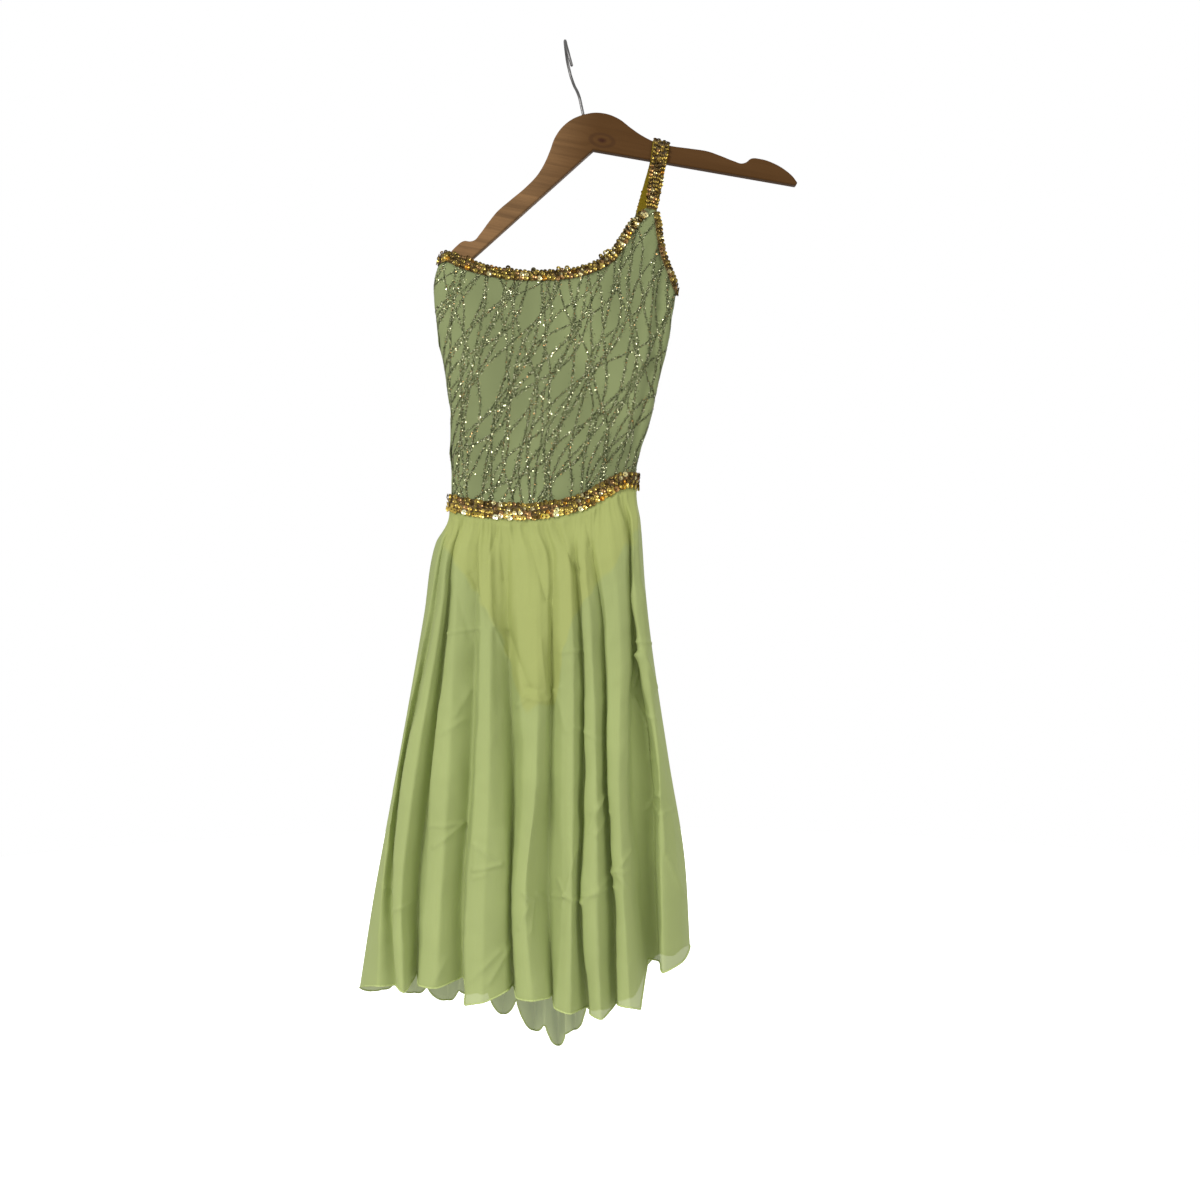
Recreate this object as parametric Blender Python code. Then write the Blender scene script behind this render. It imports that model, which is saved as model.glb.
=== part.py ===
"""One-shoulder dance dress hanging, rolled to its left, on a flat wooden coat hanger.

Tables and lengths are in millimetres and are turned into metres when a mesh is made.
+Z is up, -Y is the dress's front and +X is the viewer's right. The origin is the inner top of
the hanger's hook. The leotard is one flat tube of rings; its panels, trims and the top of the
skirt are all taken from that tube. A ring place runs 0 to 1 across the front, from the left side
seam to the right one, and 1 to 2 back across the back.
"""

import math

import bmesh
import bpy
import numpy as np

MM = 0.001

# Cloth and trim
BODICE_WALL = 1.4
SKIRT_WALL = 1.2
BRIEF_WALL = 1.4
LINING_WALL = 1.2
TRIM_WALL = 1.6
SEAM_GAP = 0.3
LAY_GAP = 0.6
WAIST_TRIM_HEIGHT = 20.0
SKIRT_TOP_ABOVE_WAIST = 7.0
NECK_TRIM_STAND = 1.5
NECK_TRIM_LAP = 11.7
NECK_TRIM_LAP_BY_STRAP = 8.5
NECK_TRIM_NARROWS = (0.70, 0.78)
NECK_TRIM_STOP = 2.0
SEAM_TURN = 0.05
SEAM_TURN_CLEAR = 0.02
SEAM_TURN_COLUMNS = 13
NECK_TRIM_COLUMNS = 26
ARMHOLE_TRIM_STAND = 3.0
ARMHOLE_TRIM_LAP = 5.0
ARMHOLE_TRIM_INSET = 2.0
ARMHOLE_TRIM_COLUMNS = 48

# Hanger and hook
HANGER_ROLL = math.radians(16.0)
HANGER_THICKNESS = 12.0
HANGER_EDGE_RADIUS = 2.2
HANGER_UNDERSIDE = (34.0, -128.4)
HANGER_LOWER_BEND = (110.4, -53.65)
HOOK_WIRE_RADIUS = 1.75
HOOK_BEND_RADIUS = 27.0
HOOK_SHANK_FOOT = -85.4
HOOK_SHANK_TOP = -66.0
HOOK_NECK = ((2.2, -59.5), (7.0, -54.0))
HOOK_FIRST_TURN = math.radians(-62.0)
HOOK_TIP_TURN = math.radians(205.0)
HOOK_BOW_STEPS = 26

# Leotard rings: height, left and right ends, half depth and squareness of a level section.
LEOTARD_RINGS = (
    (-820.0, -134.0, 82.0, 7.0, 2.5),
    (-760.0, -134.0, 82.0, 9.5, 2.5),
    (-700.0, -135.0, 82.0, 14.0, 2.5),
    (-630.0, -136.5, 83.0, 20.0, 2.5),
    (-575.0, -137.0, 84.0, 24.4, 2.5),
    (-541.0, -136.5, 84.0, 25.0, 2.5),
    (-505.0, -137.0, 86.0, 25.5, 2.5),
    (-457.0, -137.6, 100.0, 26.0, 2.5),
    (-403.0, -143.4, 112.8, 25.5, 2.6),
    (-367.0, -148.6, 121.2, 24.0, 2.8),
    (-337.0, -153.0, 126.6, 22.0, 3.0),
    (-307.0, -156.4, 132.0, 19.0, 3.2),
    (-287.0, -157.0, 133.8, 16.5, 3.4),
    (-254.0, -148.6, 134.0, 13.5, 3.4),
    (-223.0, -146.0, 134.0, 11.2, 3.2),
    (-187.0, -146.0, 134.0, 9.8, 3.0),
    (-150.0, -146.0, 134.0, 9.4, 3.0),
)
RING_STEPS = 240
LEVEL_STEP = 4.0
SECTION_SAMPLES = 721

# Mesh columns and rows of the leotard's panels and strips.
NEAR_SEAM = (0.012, 0.028, 0.05)
EVEN_COLUMN = 0.035
EVEN_COLUMNS = 20
BODICE_ROWS = 10
BRIEF_ROWS = 7

# The upright fold near the right side seam: height, x and depth, by which the cloth to its
# right lies further back.
SIDE_FOLD_LINE = (
    (-820.0, 64.0, 0.0),
    (-522.0, 68.0, 0.0),
    (-490.0, 75.0, 1.6),
    (-433.0, 88.0, 4.0),
    (-385.0, 100.0, 4.5),
    (-315.0, 107.0, 3.6),
    (-270.0, 112.0, 0.8),
    (-240.0, 112.0, 0.0),
)
SIDE_FOLD_WIDTH = 9.0

# Top edges of the bodice, as x and z from the left side seam to the strap's seat and on.
NECK_FRONT = (
    (-155.0, -255.5),
    (-139.5, -252.0),
    (-123.7, -258.3),
    (-108.6, -265.0),
    (-93.6, -269.4),
    (-74.5, -273.8),
    (-50.6, -276.6),
    (-25.7, -276.7),
    (-1.9, -275.5),
    (17.1, -272.2),
    (36.1, -265.4),
    (50.3, -256.8),
    (59.8, -246.0),
    (67.6, -234.4),
    (76.6, -221.8),
    (86.1, -209.6),
    (96.4, -199.0),
)
ARMHOLE_FRONT = (
    (110.0, -201.4),
    (113.0, -223.2),
    (114.8, -237.8),
    (117.0, -249.7),
    (120.7, -261.7),
    (125.5, -273.4),
    (130.0, -286.0),
    (132.9, -294.5),
    (135.0, -297.6),
)
NECK_BACK = (
    (-155.0, -255.5),
    (-139.5, -254.4),
    (-123.7, -262.6),
    (-108.6, -271.6),
    (-93.6, -277.0),
    (-74.5, -282.0),
    (-50.6, -285.0),
    (-25.7, -285.0),
    (-1.9, -283.0),
    (17.1, -278.6),
    (36.1, -269.6),
    (47.0, -260.0),
    (55.0, -248.8),
    (62.0, -236.4),
    (69.0, -224.4),
    (76.6, -213.0),
    (84.5, -204.0),
)
ARMHOLE_BACK = (
    (99.0, -205.6),
    (104.0, -224.0),
    (107.4, -240.0),
    (111.0, -252.6),
    (116.0, -264.4),
    (122.4, -276.0),
    (128.6, -287.4),
    (132.6, -295.0),
    (135.0, -297.6),
)

# Waist seam, and the lower edge of the briefs: side, leg, crotch, leg, side.
WAIST_FRONT = (
    (-140.0, -548.4),
    (-116.0, -555.6),
    (-91.8, -559.2),
    (-70.3, -561.4),
    (-52.5, -562.4),
    (-28.9, -560.8),
    (-5.3, -557.6),
    (16.0, -552.2),
    (32.5, -544.7),
    (50.3, -533.6),
    (65.8, -525.6),
    (89.0, -523.2),
)
WAIST_BACK = (
    (-140.0, -548.4),
    (-110.0, -551.2),
    (-60.0, -550.4),
    (-10.0, -543.6),
    (40.0, -533.0),
    (70.0, -526.4),
    (89.0, -523.2),
)
BRIEF_EDGE = (
    (-141.0, -607.6),
    (-126.0, -624.0),
    (-112.0, -646.0),
    (-92.0, -677.0),
    (-74.0, -708.0),
    (-63.0, -740.0),
    (-56.0, -772.0),
    (-48.0, -788.0),
    (-29.5, -790.0),
    (-11.0, -788.0),
    (-6.0, -766.0),
    (-1.0, -726.0),
    (9.0, -694.0),
    (27.0, -664.0),
    (52.0, -634.0),
    (72.0, -606.0),
    (89.0, -587.0),
)

# Skirt fold lines: name, x at the waist and at the five stations below, the hem's height, and
# the relief, which is 1 on a full crest and -1 at the bottom of a full valley.
FRONT_FOLDS = (
    ("left_seam", -141.0, -155.0, -169.1, -207.2, -228.5, -246.4, -1131.7, 0.0),
    ("crest_1", -134.4, -146.4, -161.3, -199.5, -213.0, -217.2, -1114.0, 0.6),
    ("groove_1", -132.0, -143.0, -154.5, -195.1, -202.7, -194.1, -1115.0, -0.3),
    ("edge_2", -129.7, -138.9, -148.4, -190.4, -198.3, -191.1, -1109.0, 0.8),
    ("crest_2", -126.7, -135.8, -144.6, -176.3, -186.6, -181.8, -1115.0, 0.9),
    ("valley_2", -121.4, -130.9, -138.4, -158.4, -170.4, -171.9, -1102.0, -1.0),
    ("edge_3", -117.8, -127.4, -134.6, -154.0, -158.4, -165.1, -1108.0, 0.5),
    ("crest_3", -111.9, -121.8, -126.5, -134.4, -139.4, -144.4, -1108.0, 0.8),
    ("valley_3", -100.1, -101.9, -103.8, -109.8, -117.2, -116.5, -1103.0, -0.7),
    ("edge_4", -96.5, -99.2, -97.4, -103.3, -111.5, -111.5, -1126.0, 0.8),
    ("crest_4", -88.2, -89.6, -87.2, -86.1, -89.7, -90.9, -1121.0, 1.1),
    ("slope_4", -78.8, -79.2, -78.5, -70.1, -66.0, -65.3, -1113.0, 0.1),
    ("valley_4", -70.5, -67.7, -66.3, -59.9, -61.8, -59.1, -1112.0, -1.2),
    ("edge_5", -59.8, -55.6, -54.8, -47.7, -56.4, -52.2, -1119.0, 0.5),
    ("crest_5", -46.8, -36.7, -32.5, -33.5, -43.4, -34.7, -1119.0, 1.0),
    ("slope_5", -32.6, -22.7, -19.9, -25.5, -33.0, -17.3, -1121.0, 0.2),
    ("valley_5", -23.1, -14.6, -14.4, -16.3, -17.8, -12.4, -1119.0, -0.8),
    ("edge_6", -12.5, -5.0, -3.5, -1.7, -1.9, -9.1, -1131.0, 0.5),
    ("crest_6", -0.6, 4.4, 9.4, 11.0, 10.1, 9.2, -1135.0, 0.9),
    ("valley_6", 11.2, 12.5, 19.7, 22.7, 19.6, 28.1, -1139.0, -0.9),
    ("edge_7", 16.0, 16.1, 22.1, 24.7, 21.9, 30.6, -1139.0, 0.5),
    ("crest_7", 23.1, 23.2, 30.3, 38.6, 39.1, 44.3, -1142.0, 1.0),
    ("valley_7", 32.5, 32.6, 44.4, 51.4, 58.1, 61.3, -1137.0, -1.1),
    ("lift_8", 39.6, 38.5, 47.9, 52.4, 59.8, 62.6, -1130.0, 0.5),
    ("crest_8", 49.1, 52.6, 63.1, 63.9, 68.8, 76.1, -1131.0, 1.0),
    ("edge_8", 58.6, 66.8, 73.8, 73.9, 79.2, 88.0, -1137.0, 0.5),
    ("valley_8", 64.5, 72.8, 78.8, 79.8, 88.0, 98.5, -1090.0, -1.2),
    ("hollow_8", 69.2, 76.4, 80.3, 105.1, 107.3, 111.7, -1094.0, -1.2),
    ("edge_9", 74.0, 79.9, 82.0, 110.9, 112.4, 113.9, -1096.0, 0.9),
    ("slope_9", 82.5, 86.6, 91.5, 118.0, 133.0, 138.0, -1090.0, 0.6),
    ("right_seam", 89.0, 90.5, 96.5, 125.0, 143.0, 150.0, -1081.2, 0.0),
)
BACK_FOLDS = (
    ("right_seam", 89.0, 90.5, 96.5, 125.0, 143.0, 150.0, -1081.2, 0.0),
    ("valley_11", 82.0, 86.0, 91.0, 112.0, 124.2, 133.0, -1096.0, -0.9),
    ("crest_11", 75.0, 79.0, 84.0, 100.0, 106.2, 117.0, -1108.0, 1.0),
    ("valley_10", 65.0, 70.0, 74.5, 86.0, 90.3, 97.0, -1118.0, -1.0),
    ("crest_10", 55.0, 59.0, 62.0, 71.0, 77.8, 80.0, -1168.0, 1.0),
    ("valley_9", 46.0, 48.0, 50.0, 56.0, 60.2, 62.0, -1160.0, -0.9),
    ("crest_9", 36.0, 37.0, 38.0, 40.0, 38.1, 42.0, -1185.0, 1.0),
    ("valley_8", 26.0, 26.0, 26.0, 26.0, 24.3, 25.0, -1170.0, -1.0),
    ("crest_8", 16.0, 15.0, 14.0, 12.5, 14.2, 10.0, -1211.0, 0.8),
    ("valley_7", 7.0, 5.0, 3.5, 0.0, 1.6, -1.5, -1208.0, -0.5),
    ("crest_7", -2.0, -4.0, -6.0, -9.5, -12.0, -11.0, -1233.0, 1.0),
    ("valley_6", -12.0, -15.0, -17.0, -23.0, -27.3, -27.0, -1194.0, -0.9),
    ("crest_6", -23.0, -27.0, -29.0, -35.0, -37.3, -42.0, -1214.0, 1.0),
    ("valley_5", -34.0, -39.0, -42.0, -51.0, -53.6, -62.0, -1162.0, -1.0),
    ("crest_5", -45.0, -50.0, -55.0, -67.0, -75.2, -81.0, -1193.0, 1.0),
    ("valley_4", -55.0, -62.0, -67.0, -81.0, -91.9, -97.0, -1152.0, -1.0),
    ("crest_4", -66.0, -74.0, -80.0, -96.0, -103.8, -115.0, -1165.0, 1.0),
    ("valley_3", -77.0, -86.0, -93.0, -111.0, -119.7, -133.0, -1150.0, -0.9),
    ("crest_3", -87.0, -97.0, -105.0, -126.0, -141.3, -152.0, -1173.0, 1.0),
    ("valley_2", -98.0, -109.0, -118.0, -143.0, -158.7, -171.0, -1142.0, -1.0),
    ("crest_2", -109.0, -121.0, -132.0, -160.0, -173.2, -191.0, -1160.0, 0.9),
    ("valley_1", -120.0, -134.0, -146.0, -177.0, -191.8, -210.0, -1135.0, -0.8),
    ("crest_1", -130.0, -146.0, -159.0, -193.0, -212.2, -229.0, -1150.0, 0.9),
    ("left_seam", -141.0, -155.0, -169.1, -207.2, -228.5, -246.4, -1131.7, 0.0),
)

# Skirt stations: name, share of the way down, half depth there, fold relief and squareness.
SKIRT_STATIONS = (
    ("yoke", 0.07, 32.0, 3.0, 2.9),
    ("hip", 0.22, 42.0, 8.0, 2.5),
    ("knee", 0.60, 60.0, 17.0, 2.2),
    ("shin", 0.80, 69.0, 19.5, 2.2),
    ("hem", 1.00, 78.0, 22.0, 2.2),
)
SKIRT_ROWS_DOWN = (0.0, 0.035, 0.08, 0.15, 0.24, 0.36, 0.48, 0.6, 0.7, 0.8, 0.9, 1.0)
FRONT_STEPS_A_LINE = 2
BACK_STEPS_A_LINE = 3

# Right half of the hanger's upper outline, from the arm's end to the top of the head, measured
# from the middle of the underside with the hanger level.
HANGER_UPPER = (
    (220.8, -107.3),
    (223.6, -105.6),
    (222.6, -101.0),
    (214.0, -86.0),
    (204.0, -75.5),
    (191.0, -66.3),
    (178.0, -62.0),
    (171.5, -64.6),
    (167.0, -64.6),
    (158.0, -59.0),
    (145.0, -49.0),
    (132.0, -39.7),
    (112.0, -30.3),
    (91.0, -21.0),
    (72.0, -9.8),
    (60.7, 0.7),
    (51.0, 12.4),
    (39.7, 27.5),
    (28.0, 36.8),
    (13.0, 42.8),
    (0.0, 44.2),
)
HANGER_UPPER_STEPS = 36
HANGER_EDGE_STEPS = 3

# The hook's sideways lean, as its wire's x at a height.
HOOK_LEAN = (
    (-88.0, 22.6),
    (-64.8, 17.6),
    (-46.8, 12.2),
    (-27.6, 6.2),
    (-11.5, 2.2),
    (2.0, 0.0),
    (8.0, -0.6),
)

# Strap, from its front seat over the arm to its back seat: x, y and z of the middle of its
# inner face, half width, and sideways slope.
STRAP_ROWS = (
    (103.3, -6.9, -199.8, 6.8, -0.18),
    (104.9, -6.6, -189.0, 7.6, -0.20),
    (107.3, -6.4, -174.0, 8.2, -0.22),
    (109.6, -6.4, -159.0, 8.6, -0.24),
    (112.2, -6.4, -142.0, 9.6, -0.25),
    (114.4, -6.4, -126.0, 10.0, -0.26),
    (114.8, -6.4, -122.6, 10.0, -0.26),
    (115.0, -5.8, -120.7, 10.0, -0.26),
    (115.1, -3.9, -119.8, 10.0, -0.26),
    (115.1, 0.0, -119.6, 10.0, -0.26),
    (115.1, 3.9, -119.8, 10.0, -0.26),
    (115.0, 5.8, -120.7, 10.0, -0.26),
    (114.6, 6.4, -122.6, 9.8, -0.26),
    (113.9, 6.4, -126.0, 9.6, -0.27),
    (109.4, 6.4, -145.0, 8.4, -0.26),
    (103.8, 6.4, -163.0, 7.8, -0.22),
    (97.4, 6.6, -184.0, 7.4, -0.16),
    (91.8, 7.0, -203.8, 7.2, -0.10),
)

# Finishes: colour, roughness and metallic value.
FINISHES = {
    "wood": ((0.20, 0.125, 0.062), 0.45, 0.0),
    "hook_metal": ((0.42, 0.40, 0.38), 0.35, 1.0),
    "bodice_fabric": ((0.22, 0.24, 0.11), 0.65, 0.0),
    "sequin_trim": ((0.36, 0.27, 0.08), 0.3, 0.8),
    "strap_lining": ((0.30, 0.24, 0.01), 0.6, 0.0),
    "chiffon": ((0.40, 0.46, 0.19), 0.7, 0.0),
    "brief_fabric": ((0.45, 0.49, 0.19), 0.6, 0.0),
}


def smooth_curve(knots, values, places):
    """Values at the places on the smooth curve through the knots, with central slopes."""
    knots = np.asarray(knots, float)
    values = np.asarray(values, float)
    places = np.asarray(places, float)
    slopes = np.gradient(values, knots, axis=0)
    low = np.clip(np.searchsorted(knots, places, side="right") - 1, 0, len(knots) - 2)
    span = knots[low + 1] - knots[low]
    part = np.clip((places - knots[low]) / span, 0.0, 1.0)
    if values.ndim > 1:
        span = span[..., None]
        part = part[..., None]
    start = (2 * part**3 - 3 * part**2 + 1) * values[low]
    end = (3 * part**2 - 2 * part**3) * values[low + 1]
    leave = (part**3 - 2 * part**2 + part) * span * slopes[low]
    arrive = (part**3 - part**2) * span * slopes[low + 1]
    return start + end + leave + arrive


def smooth_step(value):
    value = np.clip(value, 0.0, 1.0)
    return value * value * (3.0 - 2.0 * value)


def unit(vectors):
    return vectors / np.linalg.norm(vectors, axis=-1, keepdims=True)


def rounding(share, squareness):
    """Height of a superellipse over its middle line, at a share -1 to 1 of its half width."""
    return (1.0 - np.minimum(np.abs(share), 1.0) ** squareness) ** (1.0 / squareness)


def leotard_levels():
    """Heights of the rings, and each ring's x and y at even steps of arc along front and back."""
    rings = np.array(LEOTARD_RINGS)
    heights = np.arange(rings[0, 0], rings[-1, 0], LEVEL_STEP)
    left, right, depth, square = smooth_curve(rings[:, 0], rings[:, 1:], heights).T
    fold = np.array(SIDE_FOLD_LINE)
    share = -np.cos(np.linspace(0.0, math.pi, SECTION_SAMPLES))
    even = np.linspace(0.0, 1.0, RING_STEPS + 1)
    levels = []
    for row, height in enumerate(heights):
        x = (left[row] + right[row]) / 2 + (right[row] - left[row]) / 2 * share
        rise = rounding(share, square[row])
        fold_x = np.interp(height, fold[:, 0], fold[:, 1])
        fold_depth = np.interp(height, fold[:, 0], fold[:, 2])
        behind = fold_depth * smooth_step((x - fold_x) / SIDE_FOLD_WIDTH)
        ring = []
        for depths in (behind - depth[row], np.full_like(x, depth[row])):
            y = depths * rise
            arc = np.concatenate([[0.0], np.cumsum(np.hypot(np.diff(x), np.diff(y)))])
            even_x = np.interp(even * arc[-1], arc, x)
            even_y = np.interp(even * arc[-1], arc, y)
            ring.append(np.stack([even_x, even_y], axis=-1))
        front, back = ring
        levels.append(np.concatenate([front[:-1], back[::-1]]))
    return heights, np.array(levels)


LEVEL_HEIGHTS, LEVELS = leotard_levels()


def tube(place, height):
    """Point of the leotard's outer face at a ring place and a height."""
    place, height = np.broadcast_arrays(np.asarray(place, float), np.asarray(height, float))
    row = np.clip((height - LEVEL_HEIGHTS[0]) / LEVEL_STEP, 0, len(LEVEL_HEIGHTS) - 1.001)
    column = np.mod(place, 2.0) * RING_STEPS
    level = row.astype(int)
    step = np.minimum(column.astype(int), 2 * RING_STEPS - 1)
    up = (row - level)[..., None]
    along = (column - step)[..., None]
    lower = LEVELS[level, step] * (1 - along) + LEVELS[level, step + 1] * along
    upper = LEVELS[level + 1, step] * (1 - along) + LEVELS[level + 1, step + 1] * along
    flat = lower * (1 - up) + upper * up
    return np.concatenate([flat, height[..., None]], axis=-1)


def lifted(place, height, distance):
    """Point that lies the distance outside the leotard's outer face, or inside it if negative."""
    step = 1.0 / RING_STEPS
    across = tube(np.add(place, step), height) - tube(np.subtract(place, step), height)
    rise = tube(place, np.add(height, LEVEL_STEP)) - tube(place, np.subtract(height, LEVEL_STEP))
    return tube(place, height) + unit(np.cross(across, rise)) * np.asarray(distance)[..., None]


def ring_place(x, height, back=False):
    """Ring place of the front or back point at x, on the ring at the height."""
    front_places = np.linspace(0.0, 1.0, RING_STEPS + 1)
    places = 2.0 - front_places if back else front_places
    return float(np.interp(x, tube(places, height)[:, 0], places))


def edge_curve(points, back=False):
    """Ring places and heights of an edge's own points, in rising order of place."""
    rows = sorted((ring_place(x, z, back), z) for x, z in points)
    places, heights = np.array(rows).T
    return places, heights


def top_edge(back):
    """Function that gives the bodice's top height at ring places of the front or the back."""
    neck = edge_curve(NECK_BACK if back else NECK_FRONT, back)
    armhole = edge_curve(ARMHOLE_BACK if back else ARMHOLE_FRONT, back)

    def height_at(places):
        on_neck = smooth_curve(*neck, places)
        on_armhole = smooth_curve(*armhole, places)
        if back:
            seat = np.interp(places, (armhole[0][-1], neck[0][0]), (armhole[1][-1], neck[1][0]))
            by_armhole = np.where(places < armhole[0][-1], on_armhole, seat)
            return np.where(places > neck[0][0], on_neck, by_armhole)
        seat = np.interp(places, (neck[0][-1], armhole[0][0]), (neck[1][-1], armhole[1][0]))
        by_neck = np.where(places < neck[0][-1], on_neck, seat)
        return np.where(places > armhole[0][0], on_armhole, by_neck)

    return height_at, neck, armhole


def waist_height(places):
    """Height of the waist seam at ring places, front and back."""
    front = edge_curve(WAIST_FRONT)
    back = edge_curve(WAIST_BACK, back=True)
    turned = np.mod(places, 2.0)
    return np.where(turned <= 1.0, smooth_curve(*front, turned), smooth_curve(*back, turned))


def material(name):
    """Principled material of one finish, made once."""
    if name in bpy.data.materials:
        return bpy.data.materials[name]
    colour, roughness, metallic = FINISHES[name]
    made = bpy.data.materials.new(name)
    made.use_nodes = True
    shader = made.node_tree.nodes["Principled BSDF"]
    shader.inputs["Base Color"].default_value = (*colour, 1.0)
    shader.inputs["Roughness"].default_value = roughness
    shader.inputs["Metallic"].default_value = metallic
    made.diffuse_color = (*colour, 1.0)
    return made


def add_object(name, data, finish):
    made = bpy.data.objects.new(name, data)
    bpy.context.scene.collection.objects.link(made)
    data.materials.append(material(finish))
    return made


def add_mesh(name, points, faces, finish, smooth=True):
    """Closed mesh from points in millimetres, with its faces turned outwards."""
    mesh = bpy.data.meshes.new(name)
    mesh.from_pydata((np.asarray(points) * MM).tolist(), [], faces)
    shape = bmesh.new()
    shape.from_mesh(mesh)
    bmesh.ops.recalc_face_normals(shape, faces=shape.faces)
    shape.to_mesh(mesh)
    shape.free()
    if smooth:
        mesh.shade_smooth()
    return add_object(name, mesh, finish)


def grid_faces(rows, columns, first, closed):
    """Quads of a grid whose points start at an index, closed round on itself or open."""
    row = np.arange(rows - 1)[:, None]
    column = np.arange(columns if closed else columns - 1)[None, :]
    after = (column + 1) % columns
    corners = (
        row * columns + column,
        row * columns + after,
        (row + 1) * columns + after,
        (row + 1) * columns + column,
    )
    return (np.stack(corners, axis=-1).reshape(-1, 4) + first).tolist()


def cloth_wall(name, outer, inner, finish, closed=False):
    """Cloth of real thickness between two matching grids of points, closed along its edges."""
    rows, columns = outer.shape[:2]
    count = rows * columns
    points = np.concatenate([outer.reshape(-1, 3), inner.reshape(-1, 3)])
    faces = grid_faces(rows, columns, 0, closed)
    faces += [face[::-1] for face in grid_faces(rows, columns, count, closed)]
    edges = [list(range(columns)), list(range(count - columns, count))]
    if closed:
        edges = [edge + edge[:1] for edge in edges]
    else:
        edges += [list(range(0, count, columns)), list(range(columns - 1, count, columns))]
    for edge in edges:
        for here, there in zip(edge[:-1], edge[1:]):
            faces.append([here, there, there + count, here + count])
    return add_mesh(name, points, faces, finish)


def piece_columns(places, first, last):
    """Ring places of a panel's columns, half a seam gap inside its two side seams."""
    inset = SEAM_GAP / 2 / half_girth()
    inside = [place for place in places if first + 4 * inset < place < last - 4 * inset]
    return np.array([first + inset, *sorted(inside), last - inset])


def half_girth():
    """Length along the front of the ring at the waist."""
    ring = tube(np.linspace(0.0, 1.0, RING_STEPS + 1), WAIST_FRONT[0][1])
    return float(np.linalg.norm(np.diff(ring, axis=0), axis=1).sum())


def leotard_columns(back):
    """Even columns under the neckline, with closer ones round the side seams and the armhole."""
    _, neck, armhole = top_edge(back)
    if back:
        even = np.linspace(neck[0][0], 2.0 - NEAR_SEAM[-1] - EVEN_COLUMN, EVEN_COLUMNS)
        near_seams = [1.0 + place for place in NEAR_SEAM[:2]] + [2.0 - place for place in NEAR_SEAM]
    else:
        even = np.linspace(NEAR_SEAM[-1] + EVEN_COLUMN, neck[0][-1], EVEN_COLUMNS)
        near_seams = [1.0 - place for place in NEAR_SEAM[:2]] + list(NEAR_SEAM)
    seat_end = armhole[0][-1] if back else armhole[0][0]
    return list(even) + list(armhole[0][1:-1:2]) + near_seams + [seat_end]


def bodice_panel(name, back):
    first = 1.0 if back else 0.0
    columns = piece_columns(leotard_columns(back), first, first + 1.0)
    top, _, _ = top_edge(back)
    low = waist_height(columns) + SEAM_GAP / 2
    way = np.linspace(0.0, 1.0, BODICE_ROWS)[:, None]
    heights = low + (top(columns) - low) * way
    places = np.broadcast_to(columns, heights.shape)
    outer = tube(places, heights)
    inner = lifted(places, heights, np.full(heights.shape, -BODICE_WALL))
    cloth_wall(name, outer, inner, "bodice_fabric")


def brief_panel(name, back):
    """Lower part of the leotard, cut away at the legs and meeting its twin at the crotch."""
    first = 1.0 if back else 0.0
    edge = edge_curve(BRIEF_EDGE, back)
    columns = piece_columns(leotard_columns(back), first, first + 1.0)
    top = waist_height(columns) - SEAM_GAP / 2
    way = np.linspace(0.0, 1.0, BRIEF_ROWS)[:, None]
    heights = top + (smooth_curve(*edge, columns) - top) * way
    places = np.broadcast_to(columns, heights.shape)
    outer = tube(places, heights)
    inner = lifted(places, heights, np.full(heights.shape, -BRIEF_WALL))
    cloth_wall(name, outer, inner, "brief_fabric")


def waist_trim():
    places = sorted([0.0, 1.0, *leotard_columns(back=False), *leotard_columns(back=True)])
    across = np.linspace(-0.5, 0.5, 3)[:, None] * WAIST_TRIM_HEIGHT
    heights = waist_height(places) + across
    places = np.broadcast_to(places, heights.shape)
    foot = LAY_GAP + SKIRT_WALL + LAY_GAP
    inner = lifted(places, heights, np.full(heights.shape, foot))
    outer = lifted(places, heights, np.full(heights.shape, foot + TRIM_WALL))
    cloth_wall("waist_trim", outer, inner, "sequin_trim", closed=True)


def strip_on_leotard(name, places, heights, stand, lap, rows):
    """Strip along an edge of the leotard, standing past the edge and lapping on to the cloth.

    Each cross row runs square to the edge, measured on the unrolled ring.
    """
    step = 1.0 / RING_STEPS
    stretch = np.linalg.norm(tube(places + step, heights) - tube(places - step, heights), axis=1)
    stretch = stretch / (2 * step)
    along = np.stack([np.gradient(places) * stretch, np.gradient(heights)], axis=-1)
    along = unit(along)
    across = np.linspace(0.0, 1.0, rows)[:, None] * (stand + lap) - stand
    strip_places = places + along[:, 1] * across / stretch
    strip_heights = heights - along[:, 0] * across
    inner = lifted(strip_places, strip_heights, np.full(strip_places.shape, LAY_GAP))
    outer = lifted(strip_places, strip_heights, np.full(strip_places.shape, LAY_GAP + TRIM_WALL))
    cloth_wall(name, outer, inner, "sequin_trim")


def neck_trim():
    """Trim from the front of the strap, down the neckline, round the left seam to the back."""
    _, front, _ = top_edge(back=False)
    _, back, _ = top_edge(back=True)
    knots = np.concatenate([back[0][:-1] - 2.0, front[0]])
    heights = np.concatenate([back[1][:-1], front[1]])
    stop = NECK_TRIM_STOP / half_girth()
    beside = SEAM_TURN + SEAM_TURN_CLEAR
    on_back = np.linspace(knots[0] + stop, -beside, NECK_TRIM_COLUMNS)
    round_seam = np.linspace(-SEAM_TURN, SEAM_TURN, SEAM_TURN_COLUMNS)
    on_front = np.linspace(beside, knots[-1] - stop, NECK_TRIM_COLUMNS)
    places = np.concatenate([on_back, round_seam, on_front])
    laps = (NECK_TRIM_LAP, NECK_TRIM_LAP_BY_STRAP)
    lap = np.interp(np.abs(places), NECK_TRIM_NARROWS, laps)
    line = smooth_curve(knots, heights, places)
    strip_on_leotard("neck_trim", places, line, NECK_TRIM_STAND, lap, rows=3)


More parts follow.
